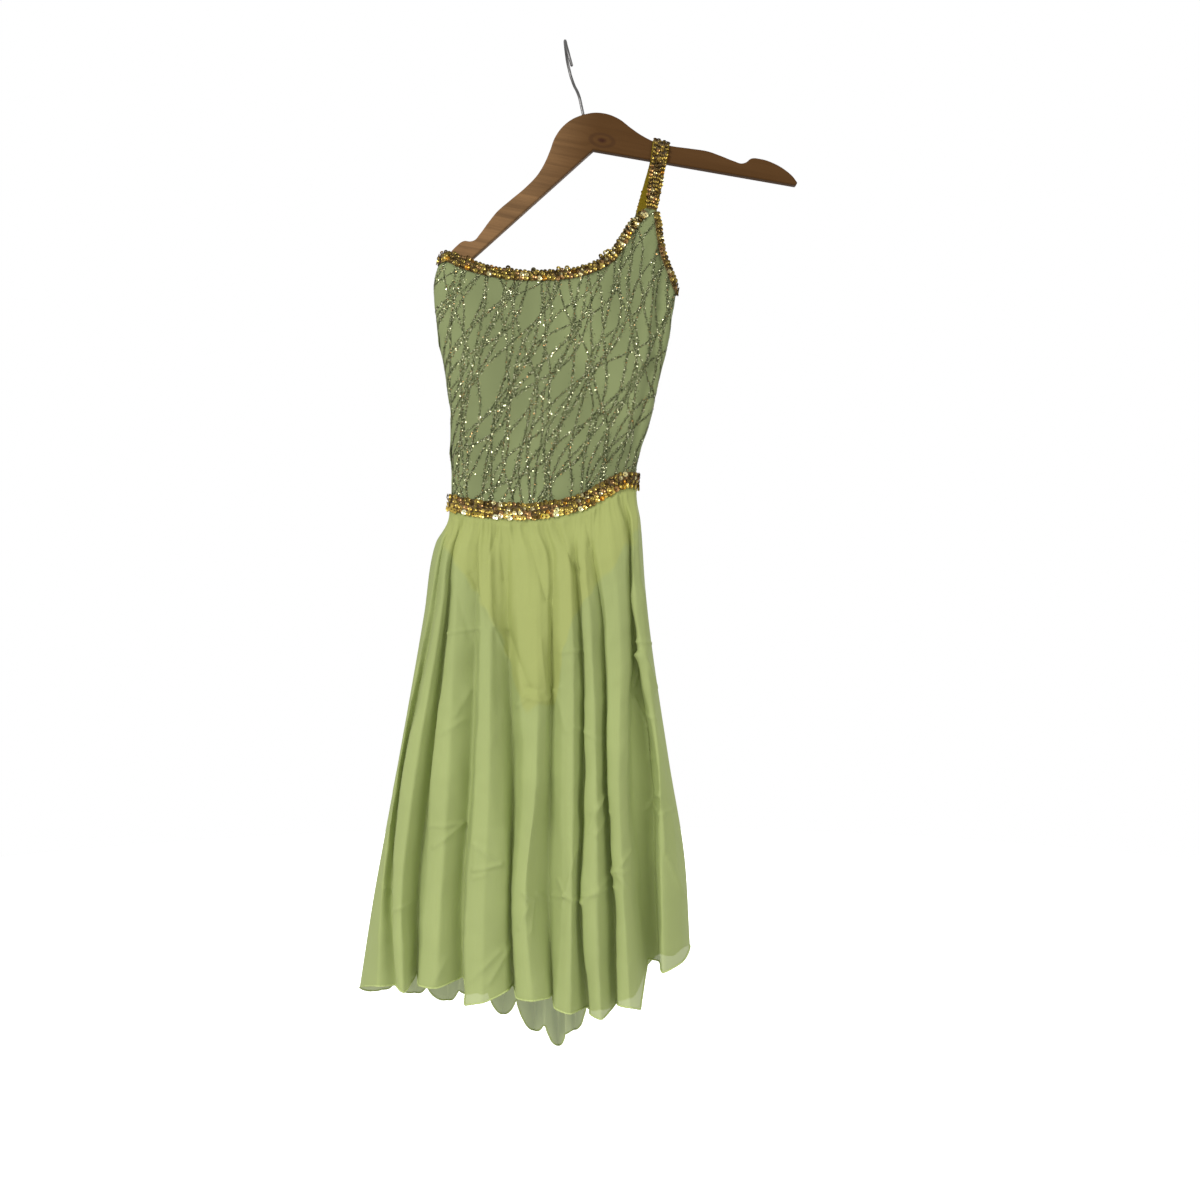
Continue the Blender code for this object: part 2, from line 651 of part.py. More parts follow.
def armhole_trim():
    """Trim from the front of the strap, down the armhole, round the right seam to the back."""
    _, _, front = top_edge(back=False)
    _, _, back = top_edge(back=True)
    knots = np.concatenate([front[0][:-1], back[0][:-1]])
    heights = np.concatenate([front[1][:-1], back[1][:-1]])
    route = np.cumsum(np.hypot(np.diff(knots) * half_girth(), np.diff(heights)))
    route = np.concatenate([[0.0], route])
    along = np.linspace(ARMHOLE_TRIM_INSET, route[-1] - ARMHOLE_TRIM_INSET, ARMHOLE_TRIM_COLUMNS)
    line = smooth_curve(route, np.stack([knots, heights], axis=-1), along)
    stand, lap = ARMHOLE_TRIM_STAND, ARMHOLE_TRIM_LAP
    strip_on_leotard("armhole_trim", line[:, 0], line[:, 1], stand, lap, rows=4)


def strap_layer(name, lift, wall, finish):
    """One layer of the strap, carried along its path over the hanger's arm."""
    x, y, z, half_width, slope = np.array(STRAP_ROWS).T
    middle = np.stack([x, y, z], axis=-1)
    tangent = unit(np.gradient(middle, axis=0))
    sideways = unit(np.stack([np.ones_like(slope), np.zeros_like(slope), slope], axis=-1))
    outward = unit(np.cross(sideways, tangent))
    across = np.linspace(-1.0, 1.0, 3)[None, :, None] * half_width[:, None, None]
    inner = middle[:, None] + outward[:, None] * lift + sideways[:, None] * across
    outer = inner + outward[:, None] * wall
    cloth_wall(name, outer, inner, finish)


def fold_lines(folds, back):
    """Points of each fold line at the stations, and its ring place at the waist."""
    side = 1.0 if back else -1.0
    table = np.array([row[1:] for row in folds])
    waist_x, station_x, hem_z, relief = table[:, 0], table[:, 1:-2], table[:, -2], table[:, -1]
    seam = WAIST_BACK if back else WAIST_FRONT
    seam_z = np.interp(waist_x, [x for x, _ in seam], [z for _, z in seam])
    places = np.array([ring_place(x, z, back) for x, z in zip(waist_x, seam_z)])
    start_z = waist_height(places) - WAIST_TRIM_HEIGHT / 2
    start = lifted(places, start_z, np.full(len(places), LAY_GAP + SKIRT_WALL))
    lines = [start]
    for column, (_, way_down, half_depth, station_relief, square) in enumerate(SKIRT_STATIONS):
        x = station_x[:, column]
        middle = (x.min() + x.max()) / 2
        envelope = rounding((x - middle) / (x.max() - middle), square)
        y = side * (half_depth * envelope + station_relief * relief)
        z = start_z + (hem_z - start_z) * way_down
        lines.append(np.stack([x, y, z], axis=-1))
    return places, np.array(lines)


def skirt_ring():
    """Ring places and station points of all fold lines, front then back, once round."""
    front_places, front_lines = fold_lines(FRONT_FOLDS, back=False)
    back_places, back_lines = fold_lines(BACK_FOLDS, back=True)
    places = np.concatenate([front_places, back_places[1:]])
    lines = np.concatenate([front_lines, back_lines[:, 1:]], axis=1)
    places[-1] = 2.0
    return places, lines


def round_curve(values, marks):
    """Smooth closed curve through values that follow one another round a ring."""
    last = len(values) - 1
    before = values[-3:-1] - (values[-1] - values[0] if values.ndim == 1 else 0.0)
    after = values[1:3] + (values[-1] - values[0] if values.ndim == 1 else 0.0)
    ringed = np.concatenate([before, values, after])
    return smooth_curve(np.arange(-2, last + 3), ringed, marks)


def skirt_points(marks, ways):
    """Outer face at fold-line marks: its top edge, then rows at shares of the way to the hem.

    The ways start at the trim's lower edge. Down to the yoke the cloth leaves the leotard.
    """
    places, lines = skirt_ring()
    start_place = round_curve(places, marks)
    start_z = waist_height(start_place) - WAIST_TRIM_HEIGHT / 2
    stops = np.array([0.0] + [station[1] for station in SKIRT_STATIONS])
    rows = []
    for way in ways:
        ring = smooth_curve(stops, lines, np.array(way))
        folded = round_curve(ring, marks)
        drop = folded[:, 2].copy()
        close = lifted(start_place, drop, np.full(len(marks), LAY_GAP + SKIRT_WALL))
        share = smooth_step(np.array(way / stops[1]))
        rows.append(close * (1 - share) + folded * share)
    rows = np.array(rows)
    rows[0] = lifted(start_place, start_z, np.full(len(marks), LAY_GAP + SKIRT_WALL))
    top_z = waist_height(start_place) + SKIRT_TOP_ABOVE_WAIST
    top = lifted(start_place, top_z, np.full(len(marks), LAY_GAP + SKIRT_WALL))
    return np.concatenate([[top], rows])


def skirt_panel(name, first_mark, last_mark, steps_a_line):
    """Front or back of the gathered skirt, from under the waist trim to the hem."""
    step = 1 / steps_a_line
    marks = np.linspace(first_mark, last_mark, (last_mark - first_mark) * steps_a_line + 1)
    reach = np.concatenate([[marks[0] - step], marks, [marks[-1] + step]])
    outer = skirt_points(reach, SKIRT_ROWS_DOWN)
    across = np.gradient(outer, axis=1)
    down = np.gradient(outer, axis=0)
    outward = unit(np.cross(down, across))
    inner = outer - outward * SKIRT_WALL
    shift = SEAM_GAP / 2
    outer = outer[:, 1:-1]
    inner = inner[:, 1:-1]
    for face in (outer, inner):
        face[:, 0] += unit(across[:, 1]) * shift
        face[:, -1] -= unit(across[:, -2]) * shift
    cloth_wall(name, outer, inner, "chiffon")


def hanger_point(local):
    """World x and z of a point given on the level hanger."""
    along, up = np.asarray(local, float).T
    turn, rise = math.cos(HANGER_ROLL), math.sin(HANGER_ROLL)
    return np.stack(
        [HANGER_UNDERSIDE[0] + along * turn - up * rise, HANGER_UNDERSIDE[1] + along * rise + up * turn],
        axis=-1,
    )


def hanger_wood():
    """Flat plate of the hanger's outline, its front and back edges rounded over."""
    upper = np.array(HANGER_UPPER)
    run = np.concatenate([[0.0], np.cumsum(np.hypot(*np.diff(upper, axis=0).T))])
    right = smooth_curve(run, upper, np.linspace(0.0, run[-1], HANGER_UPPER_STEPS))
    left = right[::-1][1:] * (-1.0, 1.0)
    bend = np.array([HANGER_LOWER_BEND])
    outline = np.concatenate([[(0.0, 0.0)], bend, right, left, bend * (-1.0, 1.0)])
    ahead = np.roll(outline, -1, axis=0) - outline
    behind = outline - np.roll(outline, 1, axis=0)
    direction = unit(unit(ahead) + unit(behind))
    inward = np.stack([-direction[:, 1], direction[:, 0]], axis=-1)
    turns = np.linspace(0.0, math.pi / 2, HANGER_EDGE_STEPS)
    rings = [(HANGER_EDGE_RADIUS - inset, depth) for inset, depth in rounded_rim(turns)]
    points = []
    for inset, depth in rings:
        flat = hanger_point(outline + inward * inset)
        points.append(np.insert(flat, 1, depth, axis=1))
    count = len(outline)
    faces = grid_faces(len(rings), count, 0, closed=True)
    last = (len(rings) - 1) * count
    faces.append(list(range(count))[::-1])
    faces.append(list(range(last, last + count)))
    made = add_mesh("hanger_wood", np.concatenate(points), faces, "wood", smooth=False)
    shape = bmesh.new()
    shape.from_mesh(made.data)
    bmesh.ops.triangulate(shape, faces=[face for face in shape.faces if len(face.verts) > 4])
    shape.to_mesh(made.data)
    shape.free()


def rounded_rim(turns):
    """Reach and depth of the rounded rim's rings, from the front face to the back face."""
    reach = HANGER_EDGE_RADIUS * np.sin(turns)
    depth = HANGER_THICKNESS / 2 - HANGER_EDGE_RADIUS * (1 - np.cos(turns))
    front = [(out, -deep) for out, deep in zip(reach, depth)]
    back = [(out, deep) for out, deep in zip(reach[::-1], depth[::-1])]
    return front + back


def hanger_hook():
    """Round wire: a short shank, a bend back and a round bow whose tip comes to the front."""
    bend = HOOK_BEND_RADIUS
    centre_z = HOOK_WIRE_RADIUS - bend
    shank = [(0.0, z) for z in np.linspace(HOOK_SHANK_FOOT, HOOK_SHANK_TOP, 4)]
    turns = np.linspace(HOOK_FIRST_TURN, HOOK_TIP_TURN, HOOK_BOW_STEPS)
    bow = [(bend * math.cos(turn), centre_z + bend * math.sin(turn)) for turn in turns]
    lean_z, lean_x = np.array(HOOK_LEAN).T
    curve = bpy.data.curves.new("hanger_hook", "CURVE")
    curve.dimensions = "3D"
    curve.bevel_depth = HOOK_WIRE_RADIUS * MM
    curve.bevel_resolution = 2
    curve.use_fill_caps = True
    route = [*shank, *HOOK_NECK, *bow]
    spline = curve.splines.new("POLY")
    spline.points.add(len(route) - 1)
    for point, (y, z) in zip(spline.points, route):
        x = float(np.interp(z, lean_z, lean_x))
        point.co = (x * MM, y * MM, z * MM, 1.0)
    add_object("hanger_hook", curve, "hook_metal")


def clear_scene():
    for old in list(bpy.data.objects):
        bpy.data.objects.remove(old, do_unlink=True)


def main():
    clear_scene()
    hanger_wood()
    hanger_hook()
    bodice_panel("bodice_front", back=False)
    bodice_panel("bodice_back", back=True)
    brief_panel("brief_front", back=False)
    brief_panel("brief_back", back=True)
    neck_trim()
    armhole_trim()
    waist_trim()
    strap_layer("strap_lining", 0.0, LINING_WALL, "strap_lining")
    strap_layer("strap_sequins", LINING_WALL + SEAM_GAP, TRIM_WALL, "sequin_trim")
    front_lines = len(FRONT_FOLDS) - 1
    all_lines = front_lines + len(BACK_FOLDS) - 1
    skirt_panel("skirt_front", 0, front_lines, FRONT_STEPS_A_LINE)
    skirt_panel("skirt_back", front_lines, all_lines, BACK_STEPS_A_LINE)


if __name__ == "__main__":
    main()
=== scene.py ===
"""One-shoulder dance dress hanging, rolled to its left, on a flat wooden coat hanger.

Tables and lengths are in millimetres unless a name says otherwise, and meshes are in metres.
+Z is up, -Y is the dress's front and +X is the viewer's right. The origin is the inner top of
the hanger's hook. The leotard is one flat tube of rings, and a ring place runs 0 to 1 across the
front, from the left side seam to the right one, and 1 to 2 back across the back.
"""

import math

import bmesh
import bpy
import numpy as np
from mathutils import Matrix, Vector


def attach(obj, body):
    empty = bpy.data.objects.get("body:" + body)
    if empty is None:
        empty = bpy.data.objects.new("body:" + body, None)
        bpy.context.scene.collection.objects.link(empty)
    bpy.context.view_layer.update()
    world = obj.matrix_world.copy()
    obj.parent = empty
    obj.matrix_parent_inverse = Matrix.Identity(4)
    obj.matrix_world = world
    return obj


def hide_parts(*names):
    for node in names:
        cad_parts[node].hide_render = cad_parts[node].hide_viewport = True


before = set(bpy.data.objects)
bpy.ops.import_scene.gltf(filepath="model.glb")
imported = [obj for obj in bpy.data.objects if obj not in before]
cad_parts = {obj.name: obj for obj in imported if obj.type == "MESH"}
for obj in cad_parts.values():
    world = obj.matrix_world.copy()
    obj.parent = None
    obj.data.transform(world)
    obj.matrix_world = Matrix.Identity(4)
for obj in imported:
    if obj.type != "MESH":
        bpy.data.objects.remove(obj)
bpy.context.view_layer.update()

bl_info = {
    "name": "Dance Dress on a Hanger",
    "version": (1, 0, 0),
    "blender": (4, 5, 0),
    "location": "View3D > Sidebar > Dance Dress",
    "description": "One-shoulder dance dress with sequin trims and a chiffon skirt on a hanger",
    "category": "Object",
}

MM = 0.001

# Cloth and trim
SKIRT_WALL = 1.2
LINING_WALL = 1.2
SEAM_GAP = 0.3
LAY_GAP = 0.6
WAIST_TRIM_HEIGHT = 20.0
SKIRT_TOP_ABOVE_WAIST = 7.0
NECK_TRIM_STAND = 1.5
NECK_TRIM_LAP = 11.7
NECK_TRIM_LAP_BY_STRAP = 8.5
NECK_TRIM_NARROWS = (0.70, 0.78)
NECK_TRIM_STOP = 2.0
ARMHOLE_TRIM_STAND = 3.0
ARMHOLE_TRIM_LAP = 5.0
ARMHOLE_TRIM_INSET = 2.0
NECK_ROUTE_STEPS = 600
ARMHOLE_ROUTE_STEPS = 300
WAIST_ROUTE_STEPS = 900

# Hanger and hook
HANGER_ROLL = math.radians(16.0)
HANGER_THICKNESS = 12.0
HANGER_EDGE_RADIUS = 2.2
HANGER_UNDERSIDE = (34.0, -128.4)
HANGER_LOWER_BEND = (110.4, -53.65)
HOOK_WIRE_RADIUS = 1.75
HOOK_BEND_RADIUS = 27.0
HOOK_SHANK_FOOT = -85.4
HOOK_SHANK_TOP = -66.0
HOOK_NECK = ((2.2, -59.5), (7.0, -54.0))
HOOK_FIRST_TURN = math.radians(-62.0)
HOOK_TIP_TURN = math.radians(205.0)
HOOK_BOW_STEPS = 26

# Leotard rings: height, left and right ends, half depth and squareness of a level section.
LEOTARD_RINGS = (
    (-820, -134, 82, 7, 2.5), (-760, -134, 82, 9.5, 2.5), (-700, -135, 82, 14, 2.5),
    (-630, -136.5, 83, 20, 2.5), (-575, -137, 84, 24.4, 2.5), (-541, -136.5, 84, 25, 2.5),
    (-505, -137, 86, 25.5, 2.5), (-457, -137.6, 100, 26, 2.5), (-403, -143.4, 112.8, 25.5, 2.6),
    (-367, -148.6, 121.2, 24, 2.8), (-337, -153, 126.6, 22, 3), (-307, -156.4, 132, 19, 3.2),
    (-287, -157, 133.8, 16.5, 3.4), (-254, -148.6, 134, 13.5, 3.4), (-223, -146, 134, 11.2, 3.2),
    (-187, -146, 134, 9.8, 3), (-150, -146, 134, 9.4, 3),
)
RING_STEPS = 240
LEVEL_STEP = 4.0
SECTION_SAMPLES = 721

# The upright fold near the right side seam: height, x and depth, by which the cloth to its
# right lies further back.
SIDE_FOLD_LINE = (
    (-820, 64, 0), (-522, 68, 0), (-490, 75, 1.6), (-433, 88, 4), (-385, 100, 4.5),
    (-315, 107, 3.6), (-270, 112, 0.8), (-240, 112, 0),
)
SIDE_FOLD_WIDTH = 9.0

# Top edges of the bodice, as x and z from the left side seam to the strap's seat and on.
NECK_FRONT = (
    (-155, -255.5), (-139.5, -252), (-123.7, -258.3), (-108.6, -265), (-93.6, -269.4),
    (-74.5, -273.8), (-50.6, -276.6), (-25.7, -276.7), (-1.9, -275.5), (17.1, -272.2),
    (36.1, -265.4), (50.3, -256.8), (59.8, -246), (67.6, -234.4), (76.6, -221.8), (86.1, -209.6),
    (96.4, -199),
)
ARMHOLE_FRONT = (
    (110, -201.4), (113, -223.2), (114.8, -237.8), (117, -249.7), (120.7, -261.7), (125.5, -273.4),
    (130, -286), (132.9, -294.5), (135, -297.6),
)
NECK_BACK = (
    (-155, -255.5), (-139.5, -254.4), (-123.7, -262.6), (-108.6, -271.6), (-93.6, -277),
    (-74.5, -282), (-50.6, -285), (-25.7, -285), (-1.9, -283), (17.1, -278.6), (36.1, -269.6),
    (47, -260), (55, -248.8), (62, -236.4), (69, -224.4), (76.6, -213), (84.5, -204),
)
ARMHOLE_BACK = (
    (99, -205.6), (104, -224), (107.4, -240), (111, -252.6), (116, -264.4), (122.4, -276),
    (128.6, -287.4), (132.6, -295), (135, -297.6),
)

# Waist seam, and the lower edge of the briefs: side, leg, crotch, leg, side.
WAIST_FRONT = (
    (-140, -548.4), (-116, -555.6), (-91.8, -559.2), (-70.3, -561.4), (-52.5, -562.4),
    (-28.9, -560.8), (-5.3, -557.6), (16, -552.2), (32.5, -544.7), (50.3, -533.6), (65.8, -525.6),
    (89, -523.2),
)
WAIST_BACK = (
    (-140, -548.4), (-110, -551.2), (-60, -550.4), (-10, -543.6), (40, -533), (70, -526.4),
    (89, -523.2),
)
BRIEF_EDGE = (
    (-141, -607.6), (-126, -624), (-112, -646), (-92, -677), (-74, -708), (-63, -740), (-56, -772),
    (-48, -788), (-29.5, -790), (-11, -788), (-6, -766), (-1, -726), (9, -694), (27, -664),
    (52, -634), (72, -606), (89, -587),
)

# Skirt fold lines, from the left side seam across the front to the right one, and back across
# the back: x at the waist and at the five stations below, the hem's height, and
# the relief, which is 1 on a full crest and -1 at the bottom of a full valley.
FRONT_FOLDS = (
    (-141, -155, -169.1, -207.2, -228.5, -246.4, -1131.7, 0),
    (-134.4, -146.4, -161.3, -199.5, -213, -217.2, -1114, 0.6),
    (-132, -143, -154.5, -195.1, -202.7, -194.1, -1115, -0.3),
    (-129.7, -138.9, -148.4, -190.4, -198.3, -191.1, -1109, 0.8),
    (-126.7, -135.8, -144.6, -176.3, -186.6, -181.8, -1115, 0.9),
    (-121.4, -130.9, -138.4, -158.4, -170.4, -171.9, -1102, -1),
    (-117.8, -127.4, -134.6, -154, -158.4, -165.1, -1108, 0.5),
    (-111.9, -121.8, -126.5, -134.4, -139.4, -144.4, -1108, 0.8),
    (-100.1, -101.9, -103.8, -109.8, -117.2, -116.5, -1103, -0.7),
    (-96.5, -99.2, -97.4, -103.3, -111.5, -111.5, -1126, 0.8),
    (-88.2, -89.6, -87.2, -86.1, -89.7, -90.9, -1121, 1.1),
    (-78.8, -79.2, -78.5, -70.1, -66, -65.3, -1113, 0.1),
    (-70.5, -67.7, -66.3, -59.9, -61.8, -59.1, -1112, -1.2),
    (-59.8, -55.6, -54.8, -47.7, -56.4, -52.2, -1119, 0.5),
    (-46.8, -36.7, -32.5, -33.5, -43.4, -34.7, -1119, 1),
    (-32.6, -22.7, -19.9, -25.5, -33, -17.3, -1121, 0.2),
    (-23.1, -14.6, -14.4, -16.3, -17.8, -12.4, -1119, -0.8),
    (-12.5, -5, -3.5, -1.7, -1.9, -9.1, -1131, 0.5), (-0.6, 4.4, 9.4, 11, 10.1, 9.2, -1135, 0.9),
    (11.2, 12.5, 19.7, 22.7, 19.6, 28.1, -1139, -0.9),
    (16, 16.1, 22.1, 24.7, 21.9, 30.6, -1139, 0.5), (23.1, 23.2, 30.3, 38.6, 39.1, 44.3, -1142, 1),
    (32.5, 32.6, 44.4, 51.4, 58.1, 61.3, -1137, -1.1),
    (39.6, 38.5, 47.9, 52.4, 59.8, 62.6, -1130, 0.5),
    (49.1, 52.6, 63.1, 63.9, 68.8, 76.1, -1131, 1), (58.6, 66.8, 73.8, 73.9, 79.2, 88, -1137, 0.5),
    (64.5, 72.8, 78.8, 79.8, 88, 98.5, -1090, -1.2),
    (69.2, 76.4, 80.3, 105.1, 107.3, 111.7, -1094, -1.2),
    (74, 79.9, 82, 110.9, 112.4, 113.9, -1096, 0.9), (82.5, 86.6, 91.5, 118, 133, 138, -1090, 0.6),
    (89, 90.5, 96.5, 125, 143, 150, -1081.2, 0),
)
BACK_FOLDS = (
    (89, 90.5, 96.5, 125, 143, 150, -1081.2, 0), (82, 86, 91, 112, 124.2, 133, -1096, -0.9),
    (75, 79, 84, 100, 106.2, 117, -1108, 1), (65, 70, 74.5, 86, 90.3, 97, -1118, -1),
    (55, 59, 62, 71, 77.8, 80, -1168, 1), (46, 48, 50, 56, 60.2, 62, -1160, -0.9),
    (36, 37, 38, 40, 38.1, 42, -1185, 1), (26, 26, 26, 26, 24.3, 25, -1170, -1),
    (16, 15, 14, 12.5, 14.2, 10, -1211, 0.8), (7, 5, 3.5, 0, 1.6, -1.5, -1208, -0.5),
    (-2, -4, -6, -9.5, -12, -11, -1233, 1), (-12, -15, -17, -23, -27.3, -27, -1194, -0.9),
    (-23, -27, -29, -35, -37.3, -42, -1214, 1), (-34, -39, -42, -51, -53.6, -62, -1162, -1),
    (-45, -50, -55, -67, -75.2, -81, -1193, 1), (-55, -62, -67, -81, -91.9, -97, -1152, -1),
    (-66, -74, -80, -96, -103.8, -115, -1165, 1), (-77, -86, -93, -111, -119.7, -133, -1150, -0.9),
    (-87, -97, -105, -126, -141.3, -152, -1173, 1),
    (-98, -109, -118, -143, -158.7, -171, -1142, -1),
    (-109, -121, -132, -160, -173.2, -191, -1160, 0.9),
    (-120, -134, -146, -177, -191.8, -210, -1135, -0.8),
    (-130, -146, -159, -193, -212.2, -229, -1150, 0.9),
    (-141, -155, -169.1, -207.2, -228.5, -246.4, -1131.7, 0),
)

# Skirt stations: name, share of the way down, half depth there, fold relief and squareness.
SKIRT_STATIONS = (
    ("yoke", 0.07, 32.0, 3.0, 2.9), ("hip", 0.22, 42.0, 8.0, 2.5), ("knee", 0.60, 60.0, 17.0, 2.2),
    ("shin", 0.80, 69.0, 19.5, 2.2), ("hem", 1.00, 78.0, 22.0, 2.2),
)

# Right half of the hanger's upper outline, from the arm's end to the top of the head, measured
# from the middle of the underside with the hanger level.
HANGER_UPPER = (
    (220.8, -107.3), (223.6, -105.6), (222.6, -101), (214, -86), (204, -75.5), (191, -66.3),
    (178, -62), (171.5, -64.6), (167, -64.6), (158, -59), (145, -49), (132, -39.7), (112, -30.3),
    (91, -21), (72, -9.8), (60.7, 0.7), (51, 12.4), (39.7, 27.5), (28, 36.8), (13, 42.8),
    (0, 44.2),
)

# The hook's sideways lean, as its wire's x at a height.
HOOK_LEAN = (
    (-88, 22.6), (-64.8, 17.6), (-46.8, 12.2), (-27.6, 6.2), (-11.5, 2.2), (2, 0), (8, -0.6),
)

# Strap, from its front seat over the arm to its back seat: x, y and z of the middle of its
# inner face, half width, and sideways slope.
STRAP_ROWS = (
    (103.3, -6.9, -199.8, 6.8, -0.18), (104.9, -6.6, -189, 7.6, -0.2),
    (107.3, -6.4, -174, 8.2, -0.22), (109.6, -6.4, -159, 8.6, -0.24),
    (112.2, -6.4, -142, 9.6, -0.25), (114.4, -6.4, -126, 10, -0.26),
    (114.8, -6.4, -122.6, 10, -0.26), (115, -5.8, -120.7, 10, -0.26),
    (115.1, -3.9, -119.8, 10, -0.26), (115.1, 0, -119.6, 10, -0.26),
    (115.1, 3.9, -119.8, 10, -0.26), (115, 5.8, -120.7, 10, -0.26),
    (114.6, 6.4, -122.6, 9.8, -0.26), (113.9, 6.4, -126, 9.6, -0.27),
    (109.4, 6.4, -145, 8.4, -0.26), (103.8, 6.4, -163, 7.8, -0.22), (97.4, 6.6, -184, 7.4, -0.16),
    (91.8, 7, -203.8, 7.2, -0.1),
)

# Visual mesh: columns, rows and the shell's own walls.
KNIT_WALL = 1.2
KNIT_COLUMNS = 170
BODICE_ROWS = 120
BRIEF_ROWS = 60
FOLD_STEPS_FRONT = 11
FOLD_STEPS_BACK = 14
FOLD_WANDER = 0.16
FOLD_CRISPNESS = 0.45
HEM_SHAPE_START = 0.78
HEM_ROUNDNESS_FRONT = 1.25
HEM_ROUNDNESS_BACK = 1.8
SKIRT_ROWS = 280
SKIRT_SEED_FRONT = 200
SKIRT_SEED_BACK = 300
BRAID_WALL = 0.9
BRAID_COLUMN = 1.6
BRAID_INSET = 0.05
BRAID_LINES = 9
BRAID_LUMPS = (2.6, 0.22, 91)
STRAP_LINES = 15
STRAP_COLUMNS = 160

# Soft creases on the bodice: start x and z, end x and z, half width, and height, which is
# less than nothing for a trough.
BODICE_CREASES_FRONT = (
    (-96, -300, -70, -330, 9, -1), (-112, -330, -60, -352, 8, 0.7),
    (-150, -352, -118, -372, 7, -0.8), (-66, -296, -58, -345, 7, 0.8),
    (-40, -300, -38, -360, 8, -0.9), (-8, -300, -14, -352, 7, 0.8), (22, -296, 12, -340, 7, -0.8),
    (58, -272, 36, -322, 8, 0.8), (84, -232, 70, -290, 7, -0.9), (100, -214, 92, -268, 6, 0.8),
    (118, -300, 84, -322, 7, -0.9), (104, -330, 60, -350, 9, 0.7),
    (-140, -430, -90, -448, 10, -0.8), (-136, -470, -70, -478, 9, 0.8),
    (-134, -508, -84, -500, 8, -0.9), (74, -440, 30, -462, 9, -0.7), (76, -486, 20, -494, 9, 0.8),
    (60, -512, 10, -524, 7, -0.8), (-60, -534, -66, -500, 6, 0.8), (-24, -536, -20, -505, 6, -0.7),
    (106, -250, 102, -315, 5, 1.3), (102, -315, 94, -385, 5, 1.5), (94, -385, 82, -433, 5, 1.5),
    (82, -433, 69, -490, 5, 1.3), (69, -490, 62, -520, 5, 0.9), (117, -262, 114, -315, 6, -1.8),
    (114, -315, 106, -385, 6, -2.2), (106, -385, 94, -433, 6, -2), (94, -433, 80, -490, 5, -1.4),
)
BODICE_CREASES_BACK = (
    (-100, -306, -74, -340, 9, -1), (-60, -306, -56, -350, 8, 0.8),
    (-24, -306, -30, -362, 8, -0.9), (12, -300, 2, -350, 7, 0.8), (46, -284, 30, -336, 8, -0.9),
    (70, -240, 60, -300, 7, 0.8), (112, -306, 78, -330, 8, -0.8), (-148, -360, -104, -380, 8, 0.8),
    (-138, -440, -84, -452, 10, -0.9), (86, -420, 36, -446, 10, 0.8),
    (-134, -490, -60, -486, 9, 0.8), (78, -480, 14, -492, 9, -0.8), (-40, -530, -36, -496, 6, 0.8),
    (10, -524, 16, -494, 6, -0.8),
)

# Creases on the skirt, in the same columns. They follow the photographed side on the front.
SKIRT_CREASES_FRONT = (
    (-98, -660, -82, -697, 3, 1.6), (-82, -697, -67, -734, 2.5, 1.4),
    (-110, -637, -97, -664, 3, -2), (-67, -705, -41, -768, 4, -2.2),
    (-41, -768, -28, -772, 4, -1.5), (-48, -569, -20, -667, 3.5, -2.2),
    (-15, -569, 15, -632, 3.5, -2.2), (-76, -573, -90, -620, 3, -1.4),
    (24, -569, 30, -602, 3, -1.6), (90, -730, 107, -772, 2.2, 2.2), (82, -768, 90, -730, 2.2, 2),
    (81, -714, 101, -719, 2, 1.6), (82, -784, 98, -818, 2.4, 2), (98, -818, 110, -895, 2.4, 1.8),
    (89, -790, 106, -807, 2, 1.2), (45, -895, 27, -934, 2, 1.5), (49, -893, 33, -912, 2, 1.3),
    (37, -938, 52, -912, 2.2, 1.3), (-137, -706, -99, -700, 2, 1.3), (-2, -728, 21, -725, 2, 1.3),
    (-149, -951, -117, -927, 2.6, 1.6), (-154, -928, -117, -926, 2.2, 1.2),
    (-103, -946, -73, -969, 2.4, 1.9), (-103, -975, -73, -970, 2.4, 1.9),
    (-103, -984, -89, -980, 2, 1.3), (-101, -951, -101, -975, 2, 1.2),
    (-13, -1009, 2, -1005, 2, 1.5), (2, -1005, 22, -1015, 2, 1.7), (2, -1005, -6, -989, 1.8, 1.3),
    (2, -1005, -2, -1018, 1.8, 1.3), (-18, -1017, -31, -1004, 2, 1.4),
    (22, -1013, 56, -983, 2.4, 1.5), (56, -983, 78, -956, 2.2, 1.4), (24, -1005, 60, -998, 2, 1.3),
    (14, -955, 3, -1000, 2.4, 1.2), (-198, -1025, -178, -1019, 2.2, 1.3),
    (-218, -1000, -201, -1008, 2, 1.2), (-50, -1039, -41, -1017, 2.4, 1.4),
    (-45, -1000, -34, -1011, 2, 1.6), (-34, -1011, -37, -1045, 2, 1.2),
    (-83, -1100, -63, -1067, 3, 1.5), (-106, -1098, -72, -1067, 3, 1.2),
    (59, -978, 73, -980, 2.2, 1.6), (63, -984, 76, -1000, 2.4, 1.5),
    (88, -901, 111, -916, 2.4, 1.3), (111, -895, 97, -916, 2.2, 1.6),
    (114, -916, 116, -961, 2.4, 1.5), (116, -916, 130, -914, 2, 1.3),
    (120, -966, 141, -1017, 3, 1.8), (-54, -790, -41, -780, 2, 1.6),
    (-41, -780, -27, -784, 2, 1.4), (-22, -784, -5, -768, 3, 1.5), (-9, -772, 2, -818, 3, 1.1),
    (-27, -714, -22, -772, 3, 1.2), (-144, -824, -119, -807, 3, 1.1),
    (-127, -801, -110, -772, 3, 1), (13, -813, 42, -830, 2.2, 1), (-127, -655, -110, -714, 4, -1),
    (-76, -602, -70, -644, 4, -1.2), (-152, -1111, -135, -1078, 3, 1.2),
    (90, -660, 101, -850, 11, 3),
)
